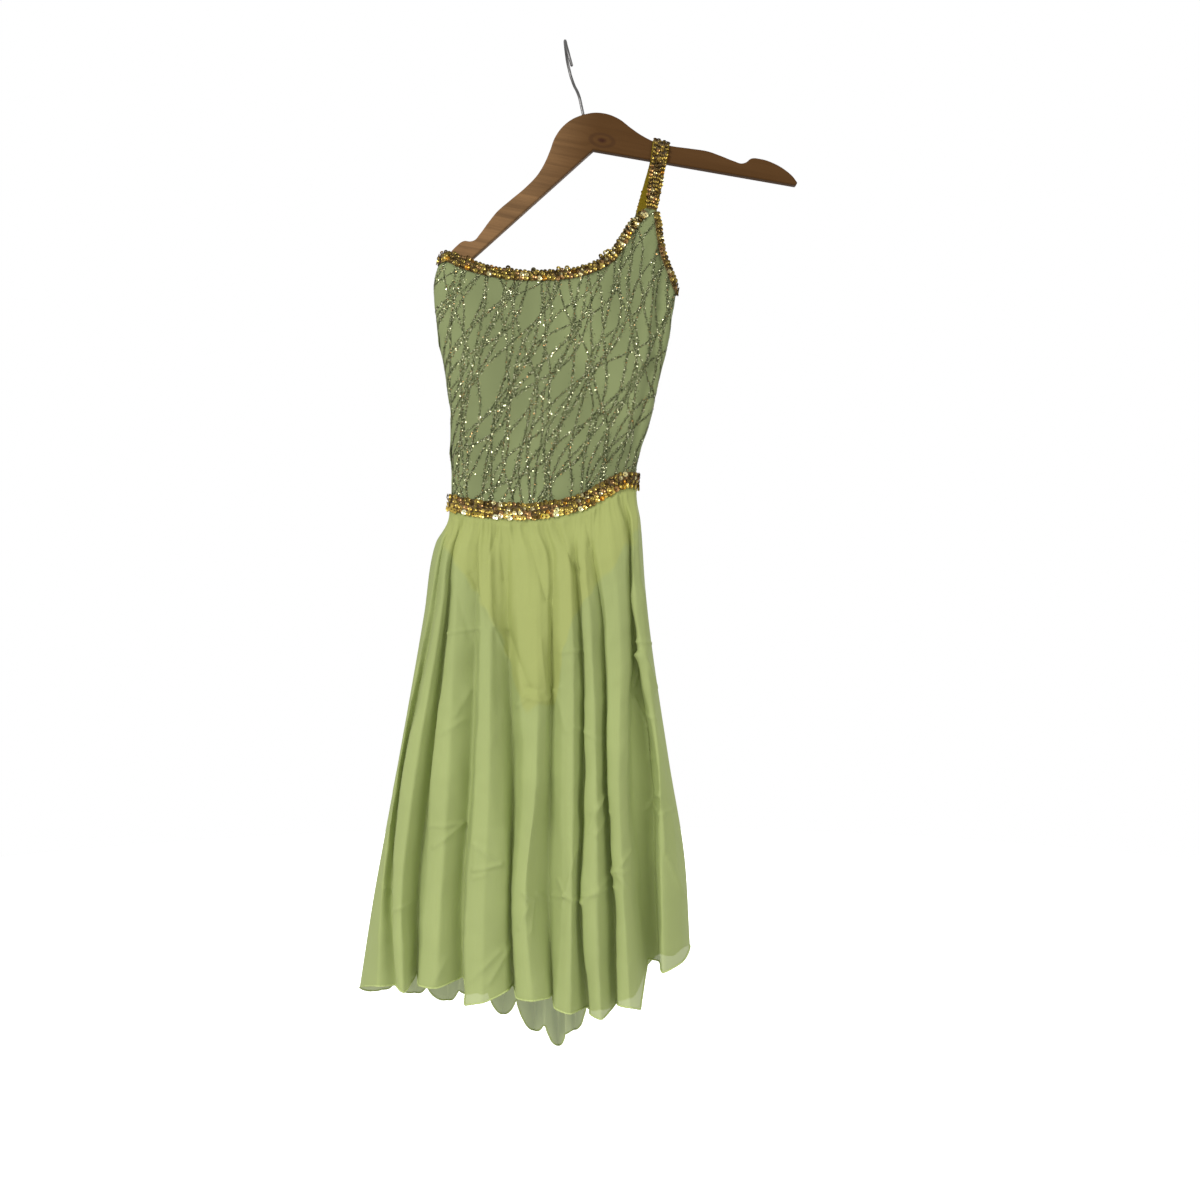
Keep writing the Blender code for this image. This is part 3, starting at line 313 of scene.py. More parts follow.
SKIRT_CREASES_BACK = (
    (-90, -640, -80, -700, 3, 1.5), (-20, -600, -32, -668, 3.4, -2), (30, -590, 40, -650, 3.4, -2),
    (-120, -720, -88, -728, 2.2, 1.5), (-60, -760, -30, -742, 2.4, 1.5),
    (6, -780, 34, -796, 2.2, 1.4), (60, -740, 78, -770, 2.4, 1.6),
    (-150, -860, -118, -842, 2.6, 1.6), (-96, -880, -70, -902, 2.4, 1.8),
    (-20, -870, -46, -892, 2.4, 1.5), (20, -900, 46, -884, 2.4, 1.5),
    (74, -900, 96, -926, 2.4, 1.7), (-190, -980, -160, -968, 2.6, 1.5),
    (-130, -1000, -104, -1018, 2.4, 1.8), (-104, -1018, -84, -1004, 2.2, 1.5),
    (-60, -1030, -36, -1012, 2.4, 1.6), (-16, -1050, 10, -1064, 2.4, 1.6),
    (30, -1010, 54, -1028, 2.4, 1.5), (84, -1020, 106, -1000, 2.4, 1.5),
    (-150, -1090, -126, -1104, 2.6, 1.4), (-80, -1110, -58, -1092, 2.6, 1.5),
    (-30, -1150, -12, -1128, 2.6, 1.5),
)

# The power of the skirt creases' bell, where 2 is a soft one, and the shares of the tables'
# heights that the skirt and the bodice take.
CREASE_POWER = 1.25
CREASE_SCALE = 1.2
BODICE_CREASE_SCALE = 1.35

# Slow unevenness of the skirt and of the bodice: cell, height and first seed of each noise.
SKIRT_UNEVENNESS = ((34.0, 1.4, 50), (12.0, 0.35, 51))
BODICE_UNEVENNESS = ((44.0, 1.6, 3), (15.0, 0.25, 7))
BRIEF_UNEVENNESS = (26.0, 0.5, 11)

# How far the chiffon's front and back pass each other at the side seams.
CHIFFON_SEAM_LAP = 0.3

# Gathers under the waist trim: spacing, height and the length over which they fade.
GATHERS = ((6.4, 0.8, 30.0), (14.0, 2.0, 95.0), (23.0, 2.2, 170.0))

# Glitter lines on the bodice, a made-up pattern of crossing families: lean from upright in
# degrees, spacing, offset, sideways swing as a share of the spacing, and the swing's length.
GLITTER_FAMILIES = (
    (33.0, 46.0, 0.10, 0.22, 260.0), (23.0, 39.0, 0.65, 0.26, 310.0),
    (12.0, 43.0, 0.35, 0.24, 240.0), (1.0, 37.0, 0.80, 0.22, 290.0),
    (-13.0, 74.0, 0.20, 0.20, 330.0), (17.0, 58.0, 0.55, 0.30, 200.0),
    (27.0, 83.0, 0.40, 0.28, 280.0), (39.0, 71.0, 0.30, 0.24, 220.0),
    (7.0, 56.0, 0.15, 0.28, 270.0),
)
GLITTER_BAND = 1.35
FLAKES_A_PANEL = 34000
FLAKE_SIZE = 0.54
GLINT_SIZE = 0.38
FLAKE_SPREAD = 1.5
FLAKE_LIFT = 0.28
FLAKE_TRIES = 9
FLAKE_SEED = 31

# Sequin rows of each trim: share of its width, pitch, share of the full radius, and shade.
NECK_ROWS = ((0.14, 4.9, 0.80, 0.55), (0.44, 5.0, 0.84, 0.95), (0.78, 5.2, 0.96, 1.35))
ARMHOLE_ROWS = ((0.24, 4.9, 0.85, 0.8), (0.70, 5.0, 0.80, 1.0))
WAIST_ROWS = (
    (0.15, 5.6, 0.95, 0.70), (0.38, 5.6, 0.80, 0.62), (0.62, 5.4, 0.85, 1.05),
    (0.88, 5.35, 1.06, 1.55),
)
STRAP_SEQUIN_ROWS = (
    (0.12, 4.6, 0.82, 1.0), (0.38, 4.8, 0.78, 0.9), (0.63, 4.8, 0.78, 1.0), (0.88, 4.6, 0.82, 0.9),
)
PROUD_SEQUINS = 16
STRAP_SEED = 77
STRAP_EDGE_FALL = 0.6
STRAP_FOOT_LAP = 1.0
NECK_SHADE = 0.66
ARMHOLE_SHADE = 0.70
WAIST_SHADE = 1.0
STRAP_SHADE = np.array((0.64, 0.60, 0.52))
SEQUIN_SIDES = 10
SEQUIN_RINGS = (0.28, 0.66, 1.0)
SEQUIN_CUP = 0.42
SEQUIN_LEAN = 0.24
SEQUIN_TILT = 0.17
PROUD_SIZE = 1.05
PROUD_SHADE = 0.8

# Tints of the sequins: share of them and colour, from dark bronze to pale gold.
SEQUIN_TINTS = (
    (0.22, (0.14, 0.090, 0.022)), (0.18, (0.42, 0.240, 0.090)), (0.27, (0.38, 0.280, 0.060)),
    (0.19, (0.62, 0.450, 0.105)), (0.04, (0.62, 0.290, 0.030)), (0.10, (0.92, 0.810, 0.400)),
)
FLAKE_TINTS = (
    (0.63, (0.024, 0.034, 0.012)), (0.22, (0.13, 0.13, 0.050)), (0.12, (0.70, 0.71, 0.44)),
    (0.03, (0.52, 0.28, 0.10)),
)
BEAD_TINTS = (
    (0.55, (0.10, 0.055, 0.018)), (0.30, (0.30, 0.19, 0.055)), (0.15, (0.62, 0.48, 0.20)),
)
# Eight-sided shape of the beads, and drawn out, of the hem's stitches.
BEAD_POINTS = ((1, 0, 0), (-1, 0, 0), (0, 1, 0), (0, -1, 0), (0, 0, 1), (0, 0, -1))
BEAD_FACES = (
    (0, 2, 4), (2, 1, 4), (1, 3, 4), (3, 0, 4), (2, 0, 5), (1, 2, 5), (3, 1, 5), (0, 3, 5),
)
BEADS_A_LENGTH = 1.1
BEAD_TILT = 0.6

# Rolled hem
HEM_REFERENCE = (0.05, 0.1, 1.0)
HEM_STITCH_PITCH = 2.6
HEM_STITCH_THICKNESS = 0.26
HEM_STITCH_SIZE = 1.2
HEM_STEP = 1.6
HEM_SIDES = 8

# Hanger board, wire and wood grain. The knot is given along and across the grain, in metres.
BOARD_STEPS = 150
BOARD_LOWER_STEPS = 40
BOARD_RIM_STEPS = 6
BOARD_FLAT_EDGE = 0.4
WIRE_STEPS = 150
WIRE_SIDES = 16
WOOD_GRAIN_LEAN = math.radians(-11.0)
KNOT_PLACE = (0.0660, -0.1068)

# Softness of the briefs' edge as it shows through the chiffon, how much of them shows, and how
# much painted shade darkens the chiffon beside them, for the shaded hollow that lies behind it.
KNIT_EDGE_BLUR = 9.0
KNIT_SHOWS = 0.50
HOLLOW_SHADE = 0.10

# Heights on the cloth between which the hollow's painted shade begins, in metres down from the
# waist.
HOLLOW_REACH = (-0.30, -0.12)

# Share of the chiffon's shade that is light let through it.
CHIFFON_GLOW = 0.26

# Further colours of the finishes, and where along the grain the wood darkens, in metres.
GLITTER_INK = (0.044, 0.052, 0.021)
GLITTER_FLECK = (0.30, 0.31, 0.16)
# The braid's bronze colours: the dark one is painted shade in the gaps between threads, the pale
# one painted light on their tops.
BRAID_DARK = (0.040, 0.022, 0.008)
BRAID_PALE = (0.24, 0.155, 0.045)
WOOD_RED = (0.068, 0.027, 0.004)
WOOD_DARKENS = (-0.02, 0.065)
KNOT_RING = (0.044, 0.018, 0.006)
KNOT_CORE = (0.032, 0.009, 0.004)
PORE_TONE = (0.050, 0.024, 0.010)
WIRE_DARK = (0.11, 0.107, 0.103)
WIRE_PALE = (0.21, 0.205, 0.20)
FLOOR_DARK = (0.93, 0.93, 0.93)
FLOOR_PALE = (0.96, 0.96, 0.96)

# Stage: the floor in millimetres, and the lights' places in metres, power in watts and size.
FLOOR_RADIUS = 3200.0
FLOOR_HEIGHT = -1470.0
FLOOR_RINGS = 8
FLOOR_SIDES = 96
FLOOR_GLOW = 1.0
AMBIENT = 0.62
STUDIO_LIGHTS = (
    ("key", (-1.75, -2.15, 0.45), 60.0, 1.0),
    ("fill", (1.7, -2.1, -0.3), 24.0, 1.6),
    ("back", (1.2, 2.3, 0.3), 18.0, 1.6),
)
LIGHTS_AIM = (0.0, 0.0, -0.65)
CAMERA_PLACE = (0.042, -1.65, -0.667)
CAMERA_SENSOR = 36.0
CAMERA_LENS = 41.25


class DanceDressSizes(bpy.types.PropertyGroup):
    """Sizes of the pieces that are worked out here."""

    sequin_radius: bpy.props.FloatProperty(
        name="Sequin Radius",
        description="Radius of a full-size sequin",
        default=0.0031,
        min=0.001,
        unit="LENGTH",
    )
    gather_height: bpy.props.FloatProperty(
        name="Gather Height",
        description="Share of the full height of the gathers under the waist trim",
        default=1.0,
        min=0.0,
        subtype="FACTOR",
    )
    crease_height: bpy.props.FloatProperty(
        name="Crease Height",
        description="Share of the full height of the creases in the skirt",
        default=1.0,
        min=0.0,
        subtype="FACTOR",
    )
    hem_radius: bpy.props.FloatProperty(
        name="Hem Radius",
        description="Radius of the skirt's rolled hem",
        default=0.0009,
        min=0.0003,
        unit="LENGTH",
    )
    chiffon_cover: bpy.props.FloatProperty(
        name="Chiffon Cover",
        description="Share of what lies behind that one layer of chiffon hides",
        default=0.94,
        min=0.0,
        max=1.0,
        subtype="FACTOR",
    )


# What all the colour properties share.
TONE = {"min": 0.0, "max": 1.0, "subtype": "COLOR"}


class DanceDressColours(bpy.types.PropertyGroup):
    """Main colour of each finish."""

    chiffon: bpy.props.FloatVectorProperty(
        name="Chiffon",
        description="Main colour of the skirt",
        default=(0.455, 0.525, 0.205),
        **TONE,
    )
    bodice: bpy.props.FloatVectorProperty(
        name="Bodice",
        description="Ground colour of the bodice knit",
        default=(0.190, 0.221, 0.095),
        **TONE,
    )
    briefs: bpy.props.FloatVectorProperty(
        name="Briefs",
        description="Main colour of the briefs",
        default=(0.40, 0.42, 0.12),
        **TONE,
    )
    lining: bpy.props.FloatVectorProperty(
        name="Strap Lining",
        description="Main colour of the strap's elastic lining",
        default=(0.196, 0.138, 0.003),
        **TONE,
    )
    wood: bpy.props.FloatVectorProperty(
        name="Hanger Wood",
        description="Pale colour of the hanger's wood",
        default=(0.188, 0.102, 0.042),
        **TONE,
    )


def smooth_curve(knots, values, places):
    """Values at the places on the smooth curve through the knots, with central slopes."""
    knots = np.asarray(knots, float)
    values = np.asarray(values, float)
    places = np.asarray(places, float)
    slopes = np.gradient(values, knots, axis=0)
    low = np.clip(np.searchsorted(knots, places, side="right") - 1, 0, len(knots) - 2)
    span = knots[low + 1] - knots[low]
    part = np.clip((places - knots[low]) / span, 0.0, 1.0)
    if values.ndim > 1:
        span = span[..., None]
        part = part[..., None]
    start = (2 * part**3 - 3 * part**2 + 1) * values[low]
    end = (3 * part**2 - 2 * part**3) * values[low + 1]
    leave = (part**3 - 2 * part**2 + part) * span * slopes[low]
    arrive = (part**3 - part**2) * span * slopes[low + 1]
    return start + end + leave + arrive


def smooth_step(value):
    value = np.clip(value, 0.0, 1.0)
    return value * value * (3.0 - 2.0 * value)


def unit(vectors):
    return vectors / np.linalg.norm(vectors, axis=-1, keepdims=True)


def rounding(share, squareness):
    """Height of a superellipse over its middle line, at a share -1 to 1 of its half width."""
    return (1.0 - np.minimum(np.abs(share), 1.0) ** squareness) ** (1.0 / squareness)


def leotard_levels():
    """Heights of the rings, and each ring's x and y at even steps of arc along front and back."""
    rings = np.array(LEOTARD_RINGS)
    heights = np.arange(rings[0, 0], rings[-1, 0], LEVEL_STEP)
    left, right, depth, square = smooth_curve(rings[:, 0], rings[:, 1:], heights).T
    fold = np.array(SIDE_FOLD_LINE)
    share = -np.cos(np.linspace(0.0, math.pi, SECTION_SAMPLES))
    even = np.linspace(0.0, 1.0, RING_STEPS + 1)
    levels = []
    for row, height in enumerate(heights):
        x = (left[row] + right[row]) / 2 + (right[row] - left[row]) / 2 * share
        rise = rounding(share, square[row])
        fold_x = np.interp(height, fold[:, 0], fold[:, 1])
        fold_depth = np.interp(height, fold[:, 0], fold[:, 2])
        behind = fold_depth * smooth_step((x - fold_x) / SIDE_FOLD_WIDTH)
        ring = []
        for depths in (behind - depth[row], np.full_like(x, depth[row])):
            y = depths * rise
            arc = np.concatenate([[0.0], np.cumsum(np.hypot(np.diff(x), np.diff(y)))])
            even_x = np.interp(even * arc[-1], arc, x)
            even_y = np.interp(even * arc[-1], arc, y)
            ring.append(np.stack([even_x, even_y], axis=-1))
        front, back = ring
        levels.append(np.concatenate([front[:-1], back[::-1]]))
    return heights, np.array(levels)


LEVEL_HEIGHTS, LEVELS = leotard_levels()


def tube(place, height):
    """Point of the leotard's outer face at a ring place and a height."""
    place, height = np.broadcast_arrays(np.asarray(place, float), np.asarray(height, float))
    row = np.clip((height - LEVEL_HEIGHTS[0]) / LEVEL_STEP, 0, len(LEVEL_HEIGHTS) - 1.001)
    column = np.mod(place, 2.0) * RING_STEPS
    level = row.astype(int)
    step = np.minimum(column.astype(int), 2 * RING_STEPS - 1)
    up = (row - level)[..., None]
    along = (column - step)[..., None]
    lower = LEVELS[level, step] * (1 - along) + LEVELS[level, step + 1] * along
    upper = LEVELS[level + 1, step] * (1 - along) + LEVELS[level + 1, step + 1] * along
    flat = lower * (1 - up) + upper * up
    return np.concatenate([flat, height[..., None]], axis=-1)


def lifted(place, height, distance):
    """Point that lies the distance outside the leotard's outer face, or inside it if negative."""
    step = 1.0 / RING_STEPS
    across = tube(np.add(place, step), height) - tube(np.subtract(place, step), height)
    rise = tube(place, np.add(height, LEVEL_STEP)) - tube(place, np.subtract(height, LEVEL_STEP))
    return tube(place, height) + unit(np.cross(across, rise)) * np.asarray(distance)[..., None]


def ring_place(x, height, back=False):
    """Ring place of the front or back point at x, on the ring at the height."""
    front_places = np.linspace(0.0, 1.0, RING_STEPS + 1)
    places = 2.0 - front_places if back else front_places
    return float(np.interp(x, tube(places, height)[:, 0], places))


def edge_curve(points, back=False):
    """Ring places and heights of an edge's own points, in rising order of place."""
    rows = sorted((ring_place(x, z, back), z) for x, z in points)
    places, heights = np.array(rows).T
    return places, heights


def top_edge(back):
    """Function that gives the bodice's top height at ring places of the front or the back."""
    neck = edge_curve(NECK_BACK if back else NECK_FRONT, back)
    armhole = edge_curve(ARMHOLE_BACK if back else ARMHOLE_FRONT, back)

    def height_at(places):
        on_neck = smooth_curve(*neck, places)
        on_armhole = smooth_curve(*armhole, places)
        if back:
            seat = np.interp(places, (armhole[0][-1], neck[0][0]), (armhole[1][-1], neck[1][0]))
            by_armhole = np.where(places < armhole[0][-1], on_armhole, seat)
            return np.where(places > neck[0][0], on_neck, by_armhole)
        seat = np.interp(places, (neck[0][-1], armhole[0][0]), (neck[1][-1], armhole[1][0]))
        by_neck = np.where(places < neck[0][-1], on_neck, seat)
        return np.where(places > armhole[0][0], on_armhole, by_neck)

    return height_at, neck, armhole


def waist_height(places):
    """Height of the waist seam at ring places, front and back."""
    front = edge_curve(WAIST_FRONT)
    back = edge_curve(WAIST_BACK, back=True)
    turned = np.mod(places, 2.0)
    return np.where(turned <= 1.0, smooth_curve(*front, turned), smooth_curve(*back, turned))


def fold_lines(folds, back):
    """Points of each fold line at the stations, and its ring place at the waist."""
    side = 1.0 if back else -1.0
    table = np.array(folds)
    waist_x, station_x, hem_z, relief = table[:, 0], table[:, 1:-2], table[:, -2], table[:, -1]
    seam = WAIST_BACK if back else WAIST_FRONT
    seam_z = np.interp(waist_x, [x for x, _ in seam], [z for _, z in seam])
    places = np.array([ring_place(x, z, back) for x, z in zip(waist_x, seam_z)])
    start_z = waist_height(places) - WAIST_TRIM_HEIGHT / 2
    start = lifted(places, start_z, np.full(len(places), LAY_GAP + SKIRT_WALL))
    lines = [start]
    for column, (_, way_down, half_depth, station_relief, square) in enumerate(SKIRT_STATIONS):
        x = station_x[:, column]
        middle = (x.min() + x.max()) / 2
        envelope = rounding((x - middle) / (x.max() - middle), square)
        y = side * (half_depth * envelope + station_relief * relief)
        z = start_z + (hem_z - start_z) * way_down
        lines.append(np.stack([x, y, z], axis=-1))
    return places, np.array(lines)


def skirt_ring():
    """Ring places and station points of all fold lines, front then back, once round."""
    front_places, front_lines = fold_lines(FRONT_FOLDS, back=False)
    back_places, back_lines = fold_lines(BACK_FOLDS, back=True)
    places = np.concatenate([front_places, back_places[1:]])
    lines = np.concatenate([front_lines, back_lines[:, 1:]], axis=1)
    places[-1] = 2.0
    return places, lines


def round_curve(values, marks):
    """Smooth closed curve through values that follow one another round a ring."""
    last = len(values) - 1
    before = values[-3:-1] - (values[-1] - values[0] if values.ndim == 1 else 0.0)
    after = values[1:3] + (values[-1] - values[0] if values.ndim == 1 else 0.0)
    ringed = np.concatenate([before, values, after])
    return smooth_curve(np.arange(-2, last + 3), ringed, marks)


def folded_ring(ring, marks):
    """Points round a ring of fold lines: the smooth curve through them, drawn towards straight
    runs between them by the folds' crispness."""
    count = len(ring)
    ringed = np.concatenate([ring[-3:-1], ring, ring[1:3]])
    knots = np.arange(-2, count + 2)
    straight = np.stack([np.interp(marks, knots, column) for column in ringed.T], axis=-1)
    return round_curve(ring, marks) * (1.0 - FOLD_CRISPNESS) + straight * FOLD_CRISPNESS


def fold_wander(marks, way, seed):
    """Small uneven shift of the fold lines on their way down, none at the side seams."""
    seam = len(FRONT_FOLDS) - 1
    ends = np.array([0, seam, seam + len(BACK_FOLDS) - 1])
    free = smooth_step(np.abs(marks[:, None] - ends).min(axis=1) / 2.0) * smooth_step(way / 0.2)
    return soft_noise(marks, way * 8.0, 1.0, seed) * FOLD_WANDER * free


def hem_height(marks):
    """Height of the hem at fold-line marks.

    Between two fold lines it is the height at the one that stands further out, plus the
    difference times a power of the distance from it, so the cloth hangs round at a crest.
    """
    table = np.array([row[-2:] for row in FRONT_FOLDS + BACK_FOLDS[1:]])
    heights, reliefs = np.concatenate([table[-3:-1], table, table[1:3]]).T
    place = np.clip(marks + 2.0, 0.0, len(heights) - 1.001)
    low = place.astype(int)
    part = place - low
    outer_first = reliefs[low] > reliefs[low + 1]
    away = np.where(outer_first, part, 1.0 - part)
    crest = np.where(outer_first, heights[low], heights[low + 1])
    valley = np.where(outer_first, heights[low + 1], heights[low])
    on_front = marks < len(FRONT_FOLDS) - 1
    power = np.where(on_front, HEM_ROUNDNESS_FRONT, HEM_ROUNDNESS_BACK)
    return crest + (valley - crest) * away**power


def skirt_points(marks, ways, seed):
    """Outer face at fold-line marks: its top edge, then rows at shares of the way to the hem.

    The ways start at the trim's lower edge. Down to the yoke the cloth leaves the leotard.
    """
    places, lines = skirt_ring()
    start_place = round_curve(places, marks)
    start_z = waist_height(start_place) - WAIST_TRIM_HEIGHT / 2
    stops = np.array([0.0] + [station[1] for station in SKIRT_STATIONS])
    rows = []
    for way in ways:
        ring = smooth_curve(stops, lines, np.array(way))
        shifted = marks + fold_wander(marks, way, seed)
        folded = folded_ring(ring, shifted)
        shaped = smooth_step((way - HEM_SHAPE_START) / (1.0 - HEM_SHAPE_START))
        folded[:, 2] += (hem_height(shifted) - folded_ring(lines[-1], shifted)[:, 2]) * shaped
        drop = folded[:, 2].copy()
        close = lifted(start_place, drop, np.full(len(marks), LAY_GAP + SKIRT_WALL))
        share = smooth_step(np.array(way / stops[1]))
        rows.append(close * (1 - share) + folded * share)
    rows = np.array(rows)
    rows[0] = lifted(start_place, start_z, np.full(len(marks), LAY_GAP + SKIRT_WALL))
    top_z = waist_height(start_place) + SKIRT_TOP_ABOVE_WAIST
    top = lifted(start_place, top_z, np.full(len(marks), LAY_GAP + SKIRT_WALL))
    return np.concatenate([[top], rows])


def running_length(points):
    """Length along a line of points, from its start to each of them."""
    steps = np.linalg.norm(np.diff(points, axis=0), axis=-1)
    return np.concatenate([[0.0], np.cumsum(steps)])


def soft_noise(across, down, cell, seed):
    """Value noise between -1 and 1: random heights on a square lattice, blended smoothly."""
    lattice = np.random.default_rng(seed).uniform(-1.0, 1.0, (256, 256))
    across, down = np.asarray(across) / cell + 1000.0, np.asarray(down) / cell + 1000.0
    column, row = np.floor(across).astype(int), np.floor(down).astype(int)
    side, rise = smooth_step(across - column), smooth_step(down - row)
    corner = lattice[row % 256, column % 256] * (1 - side)
    corner = corner + lattice[row % 256, (column + 1) % 256] * side
    upper = lattice[(row + 1) % 256, column % 256] * (1 - side)
    upper = upper + lattice[(row + 1) % 256, (column + 1) % 256] * side
    return corner * (1 - rise) + upper * rise


def crease_relief(x, z, creases, power=2.0):
    """Sum of creases at points of a panel seen from straight ahead.

    Each crease is its height times a bell of the distance from its line, over its half width.
    The bell's power is 2 for a soft one, and less for one with a sharp crest.
    """
    columns = np.array(creases, float).T.reshape(6, -1, *([1] * x.ndim))
    x0, z0, x1, z1, width, height = columns
    along_x, along_z = x1 - x0, z1 - z0
    share = ((x - x0) * along_x + (z - z0) * along_z) / (along_x**2 + along_z**2)
    share = np.clip(share, 0.0, 1.0)
    away = np.hypot(x - x0 - share * along_x, z - z0 - share * along_z)
    return (height * np.exp(-((away / width) ** power))).sum(axis=0)


def grid_faces(rows, columns, first=0, closed=False, turned=False):
    """Quads of a grid of points, closed round on itself or open, one way round or the other."""
    row = np.arange(rows - 1)[:, None]
    column = np.arange(columns if closed else columns - 1)[None, :]
    after = (column + 1) % columns
    corners = (
        row * columns + column,
        row * columns + after,
        (row + 1) * columns + after,
        (row + 1) * columns + column,
    )
    faces = np.stack(corners, axis=-1).reshape(-1, 4) + first
    return faces[:, ::-1] if turned else faces


def add_piece(name, points, faces, finish, recalculate=False):
    """Smooth mesh from points in millimetres and faces, with its finish and material slot."""
    mesh = bpy.data.meshes.new(name)
    mesh.from_pydata((np.asarray(points, float) * MM).tolist(), [], [list(face) for face in faces])
    if recalculate:
        shape = bmesh.new()
        shape.from_mesh(mesh)
        bmesh.ops.recalc_face_normals(shape, faces=shape.faces)
        shape.to_mesh(mesh)
        shape.free()
    mesh.shade_smooth()
    made = bpy.data.objects.new(name, mesh)
    bpy.context.scene.collection.objects.link(made)
    mesh.materials.append(finish)
    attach(made, "root")
    return made


def add_cut_map(made, across, down):
    """UV map in metres along and up the cloth, from one pair of values a point."""
    layer = made.data.uv_layers.new(name="cut")
    corners = np.empty(len(made.data.loops), np.int32)
    made.data.loops.foreach_get("vertex_index", corners)
    pairs = np.stack([np.ravel(across), np.ravel(down)], axis=-1) * MM
    layer.data.foreach_set("uv", pairs[corners].astype(np.float32).ravel())


def add_tints(made, tints):
    """Colour attribute from one linear colour a point."""
    layer = made.data.attributes.new("tint", "FLOAT_COLOR", "POINT")
    layer.data.foreach_set("color", np.insert(tints, 3, 1.0, axis=1).astype(np.float32).ravel())


def wall_faces(rows, columns, closed):
    """Faces of a wall between two matching grids: both sides and the closing edges."""
    count = rows * columns
    sides = [
        grid_faces(rows, columns, 0, closed),
        grid_faces(rows, columns, count, closed, turned=True),
    ]
    ring = np.arange(columns)
    edges = [ring, ring + count - columns]
    if closed:
        edges = [np.append(edge, edge[0]) for edge in edges]
    else:
        edges += [np.arange(0, count, columns), np.arange(columns - 1, count, columns)]
    for edge in edges:
        rim = (edge[:-1], edge[1:], edge[1:] + count, edge[:-1] + count)
        sides.append(np.stack(rim, axis=-1))
    return np.concatenate(sides)


def add_wall(name, outer, inner, finish, closed=False):
    """Closed cloth wall between an outer and an inner grid of points."""
    rows, columns = outer.shape[:2]
    points = np.concatenate([outer.reshape(-1, 3), inner.reshape(-1, 3)])
    faces = wall_faces(rows, columns, closed)
    return add_piece(name, points, faces, finish, recalculate=True)


def tube_along(path, radii, sides, reference):
    """Points and faces of a round tube: circles square to the path, closed by a point each end.

    A circle's point is the path's, plus the radius times the cosine and sine of its angle along
    two directions, the first square to the path and to the reference.
    """
    tangent = unit(np.gradient(path, axis=0))
    first = unit(np.cross(tangent, np.asarray(reference, float)))
    second = np.cross(tangent, first)
    angle = np.linspace(0.0, 2 * math.pi, sides, endpoint=False)[None, :, None]
    circle = first[:, None] * np.cos(angle) + second[:, None] * np.sin(angle)
    rings = path[:, None] + circle * np.broadcast_to(radii, len(path))[:, None, None]
    count = len(path) * sides
    points = np.concatenate([rings.reshape(-1, 3), path[:1], path[-1:]])
    faces = grid_faces(len(path), sides, 0, closed=True).tolist()
    ring = np.arange(sides)
    after = (ring + 1) % sides
    last = (len(path) - 1) * sides
    faces += np.stack([after, ring, np.full(sides, count)], axis=-1).tolist()
    faces += np.stack([last + ring, last + after, np.full(sides, count + 1)], axis=-1).tolist()
    return points, faces


def many_shapes(centres, axes, shape, faces):
    """Points and faces of one small shape set down many times.

    A point is the centre plus the shape's three coordinates along the three axes of its place.
    """
    count, size = len(centres), len(shape)
    points = centres[:, None] + np.einsum("pk,nkc->npc", shape, axes)
    shifts = (np.arange(count) * size)[:, None, None]
    return points.reshape(-1, 3), (np.asarray(faces)[None] + shifts).reshape(-1, len(faces[0]))


def tilted_axes(along, outward, tilts, turns):
    """Two in-plane directions and a normal at each place, tipped and then turned about it."""
    outward = unit(outward)
    along = unit(along - (along * outward).sum(-1, keepdims=True) * outward)
    beside = np.cross(outward, along)
    normal = unit(outward + along * tilts[:, :1] + beside * tilts[:, 1:])
    first = unit(along - (along * normal).sum(-1, keepdims=True) * normal)
    second = np.cross(normal, first)
    cosine, sine = np.cos(turns)[:, None], np.sin(turns)[:, None]
    turned = (first * cosine + second * sine, second * cosine - first * sine, normal)
    return np.stack(turned, axis=1)


class Socket:
    """Output of a shader node. Arithmetic on it adds Math nodes to its finish."""

    def __init__(self, finish, output):
        self.finish = finish
        self.output = output

    def __add__(self, other):
        return self.finish.maths("ADD", self, other)

    __radd__ = __add__

    def __sub__(self, other):
        return self.finish.maths("SUBTRACT", self, other)

    def __rsub__(self, other):
        return self.finish.maths("SUBTRACT", other, self)

    def __mul__(self, other):
        return self.finish.maths("MULTIPLY", self, other)

    __rmul__ = __mul__

    def __abs__(self):
        return self.finish.maths("ABSOLUTE", self)


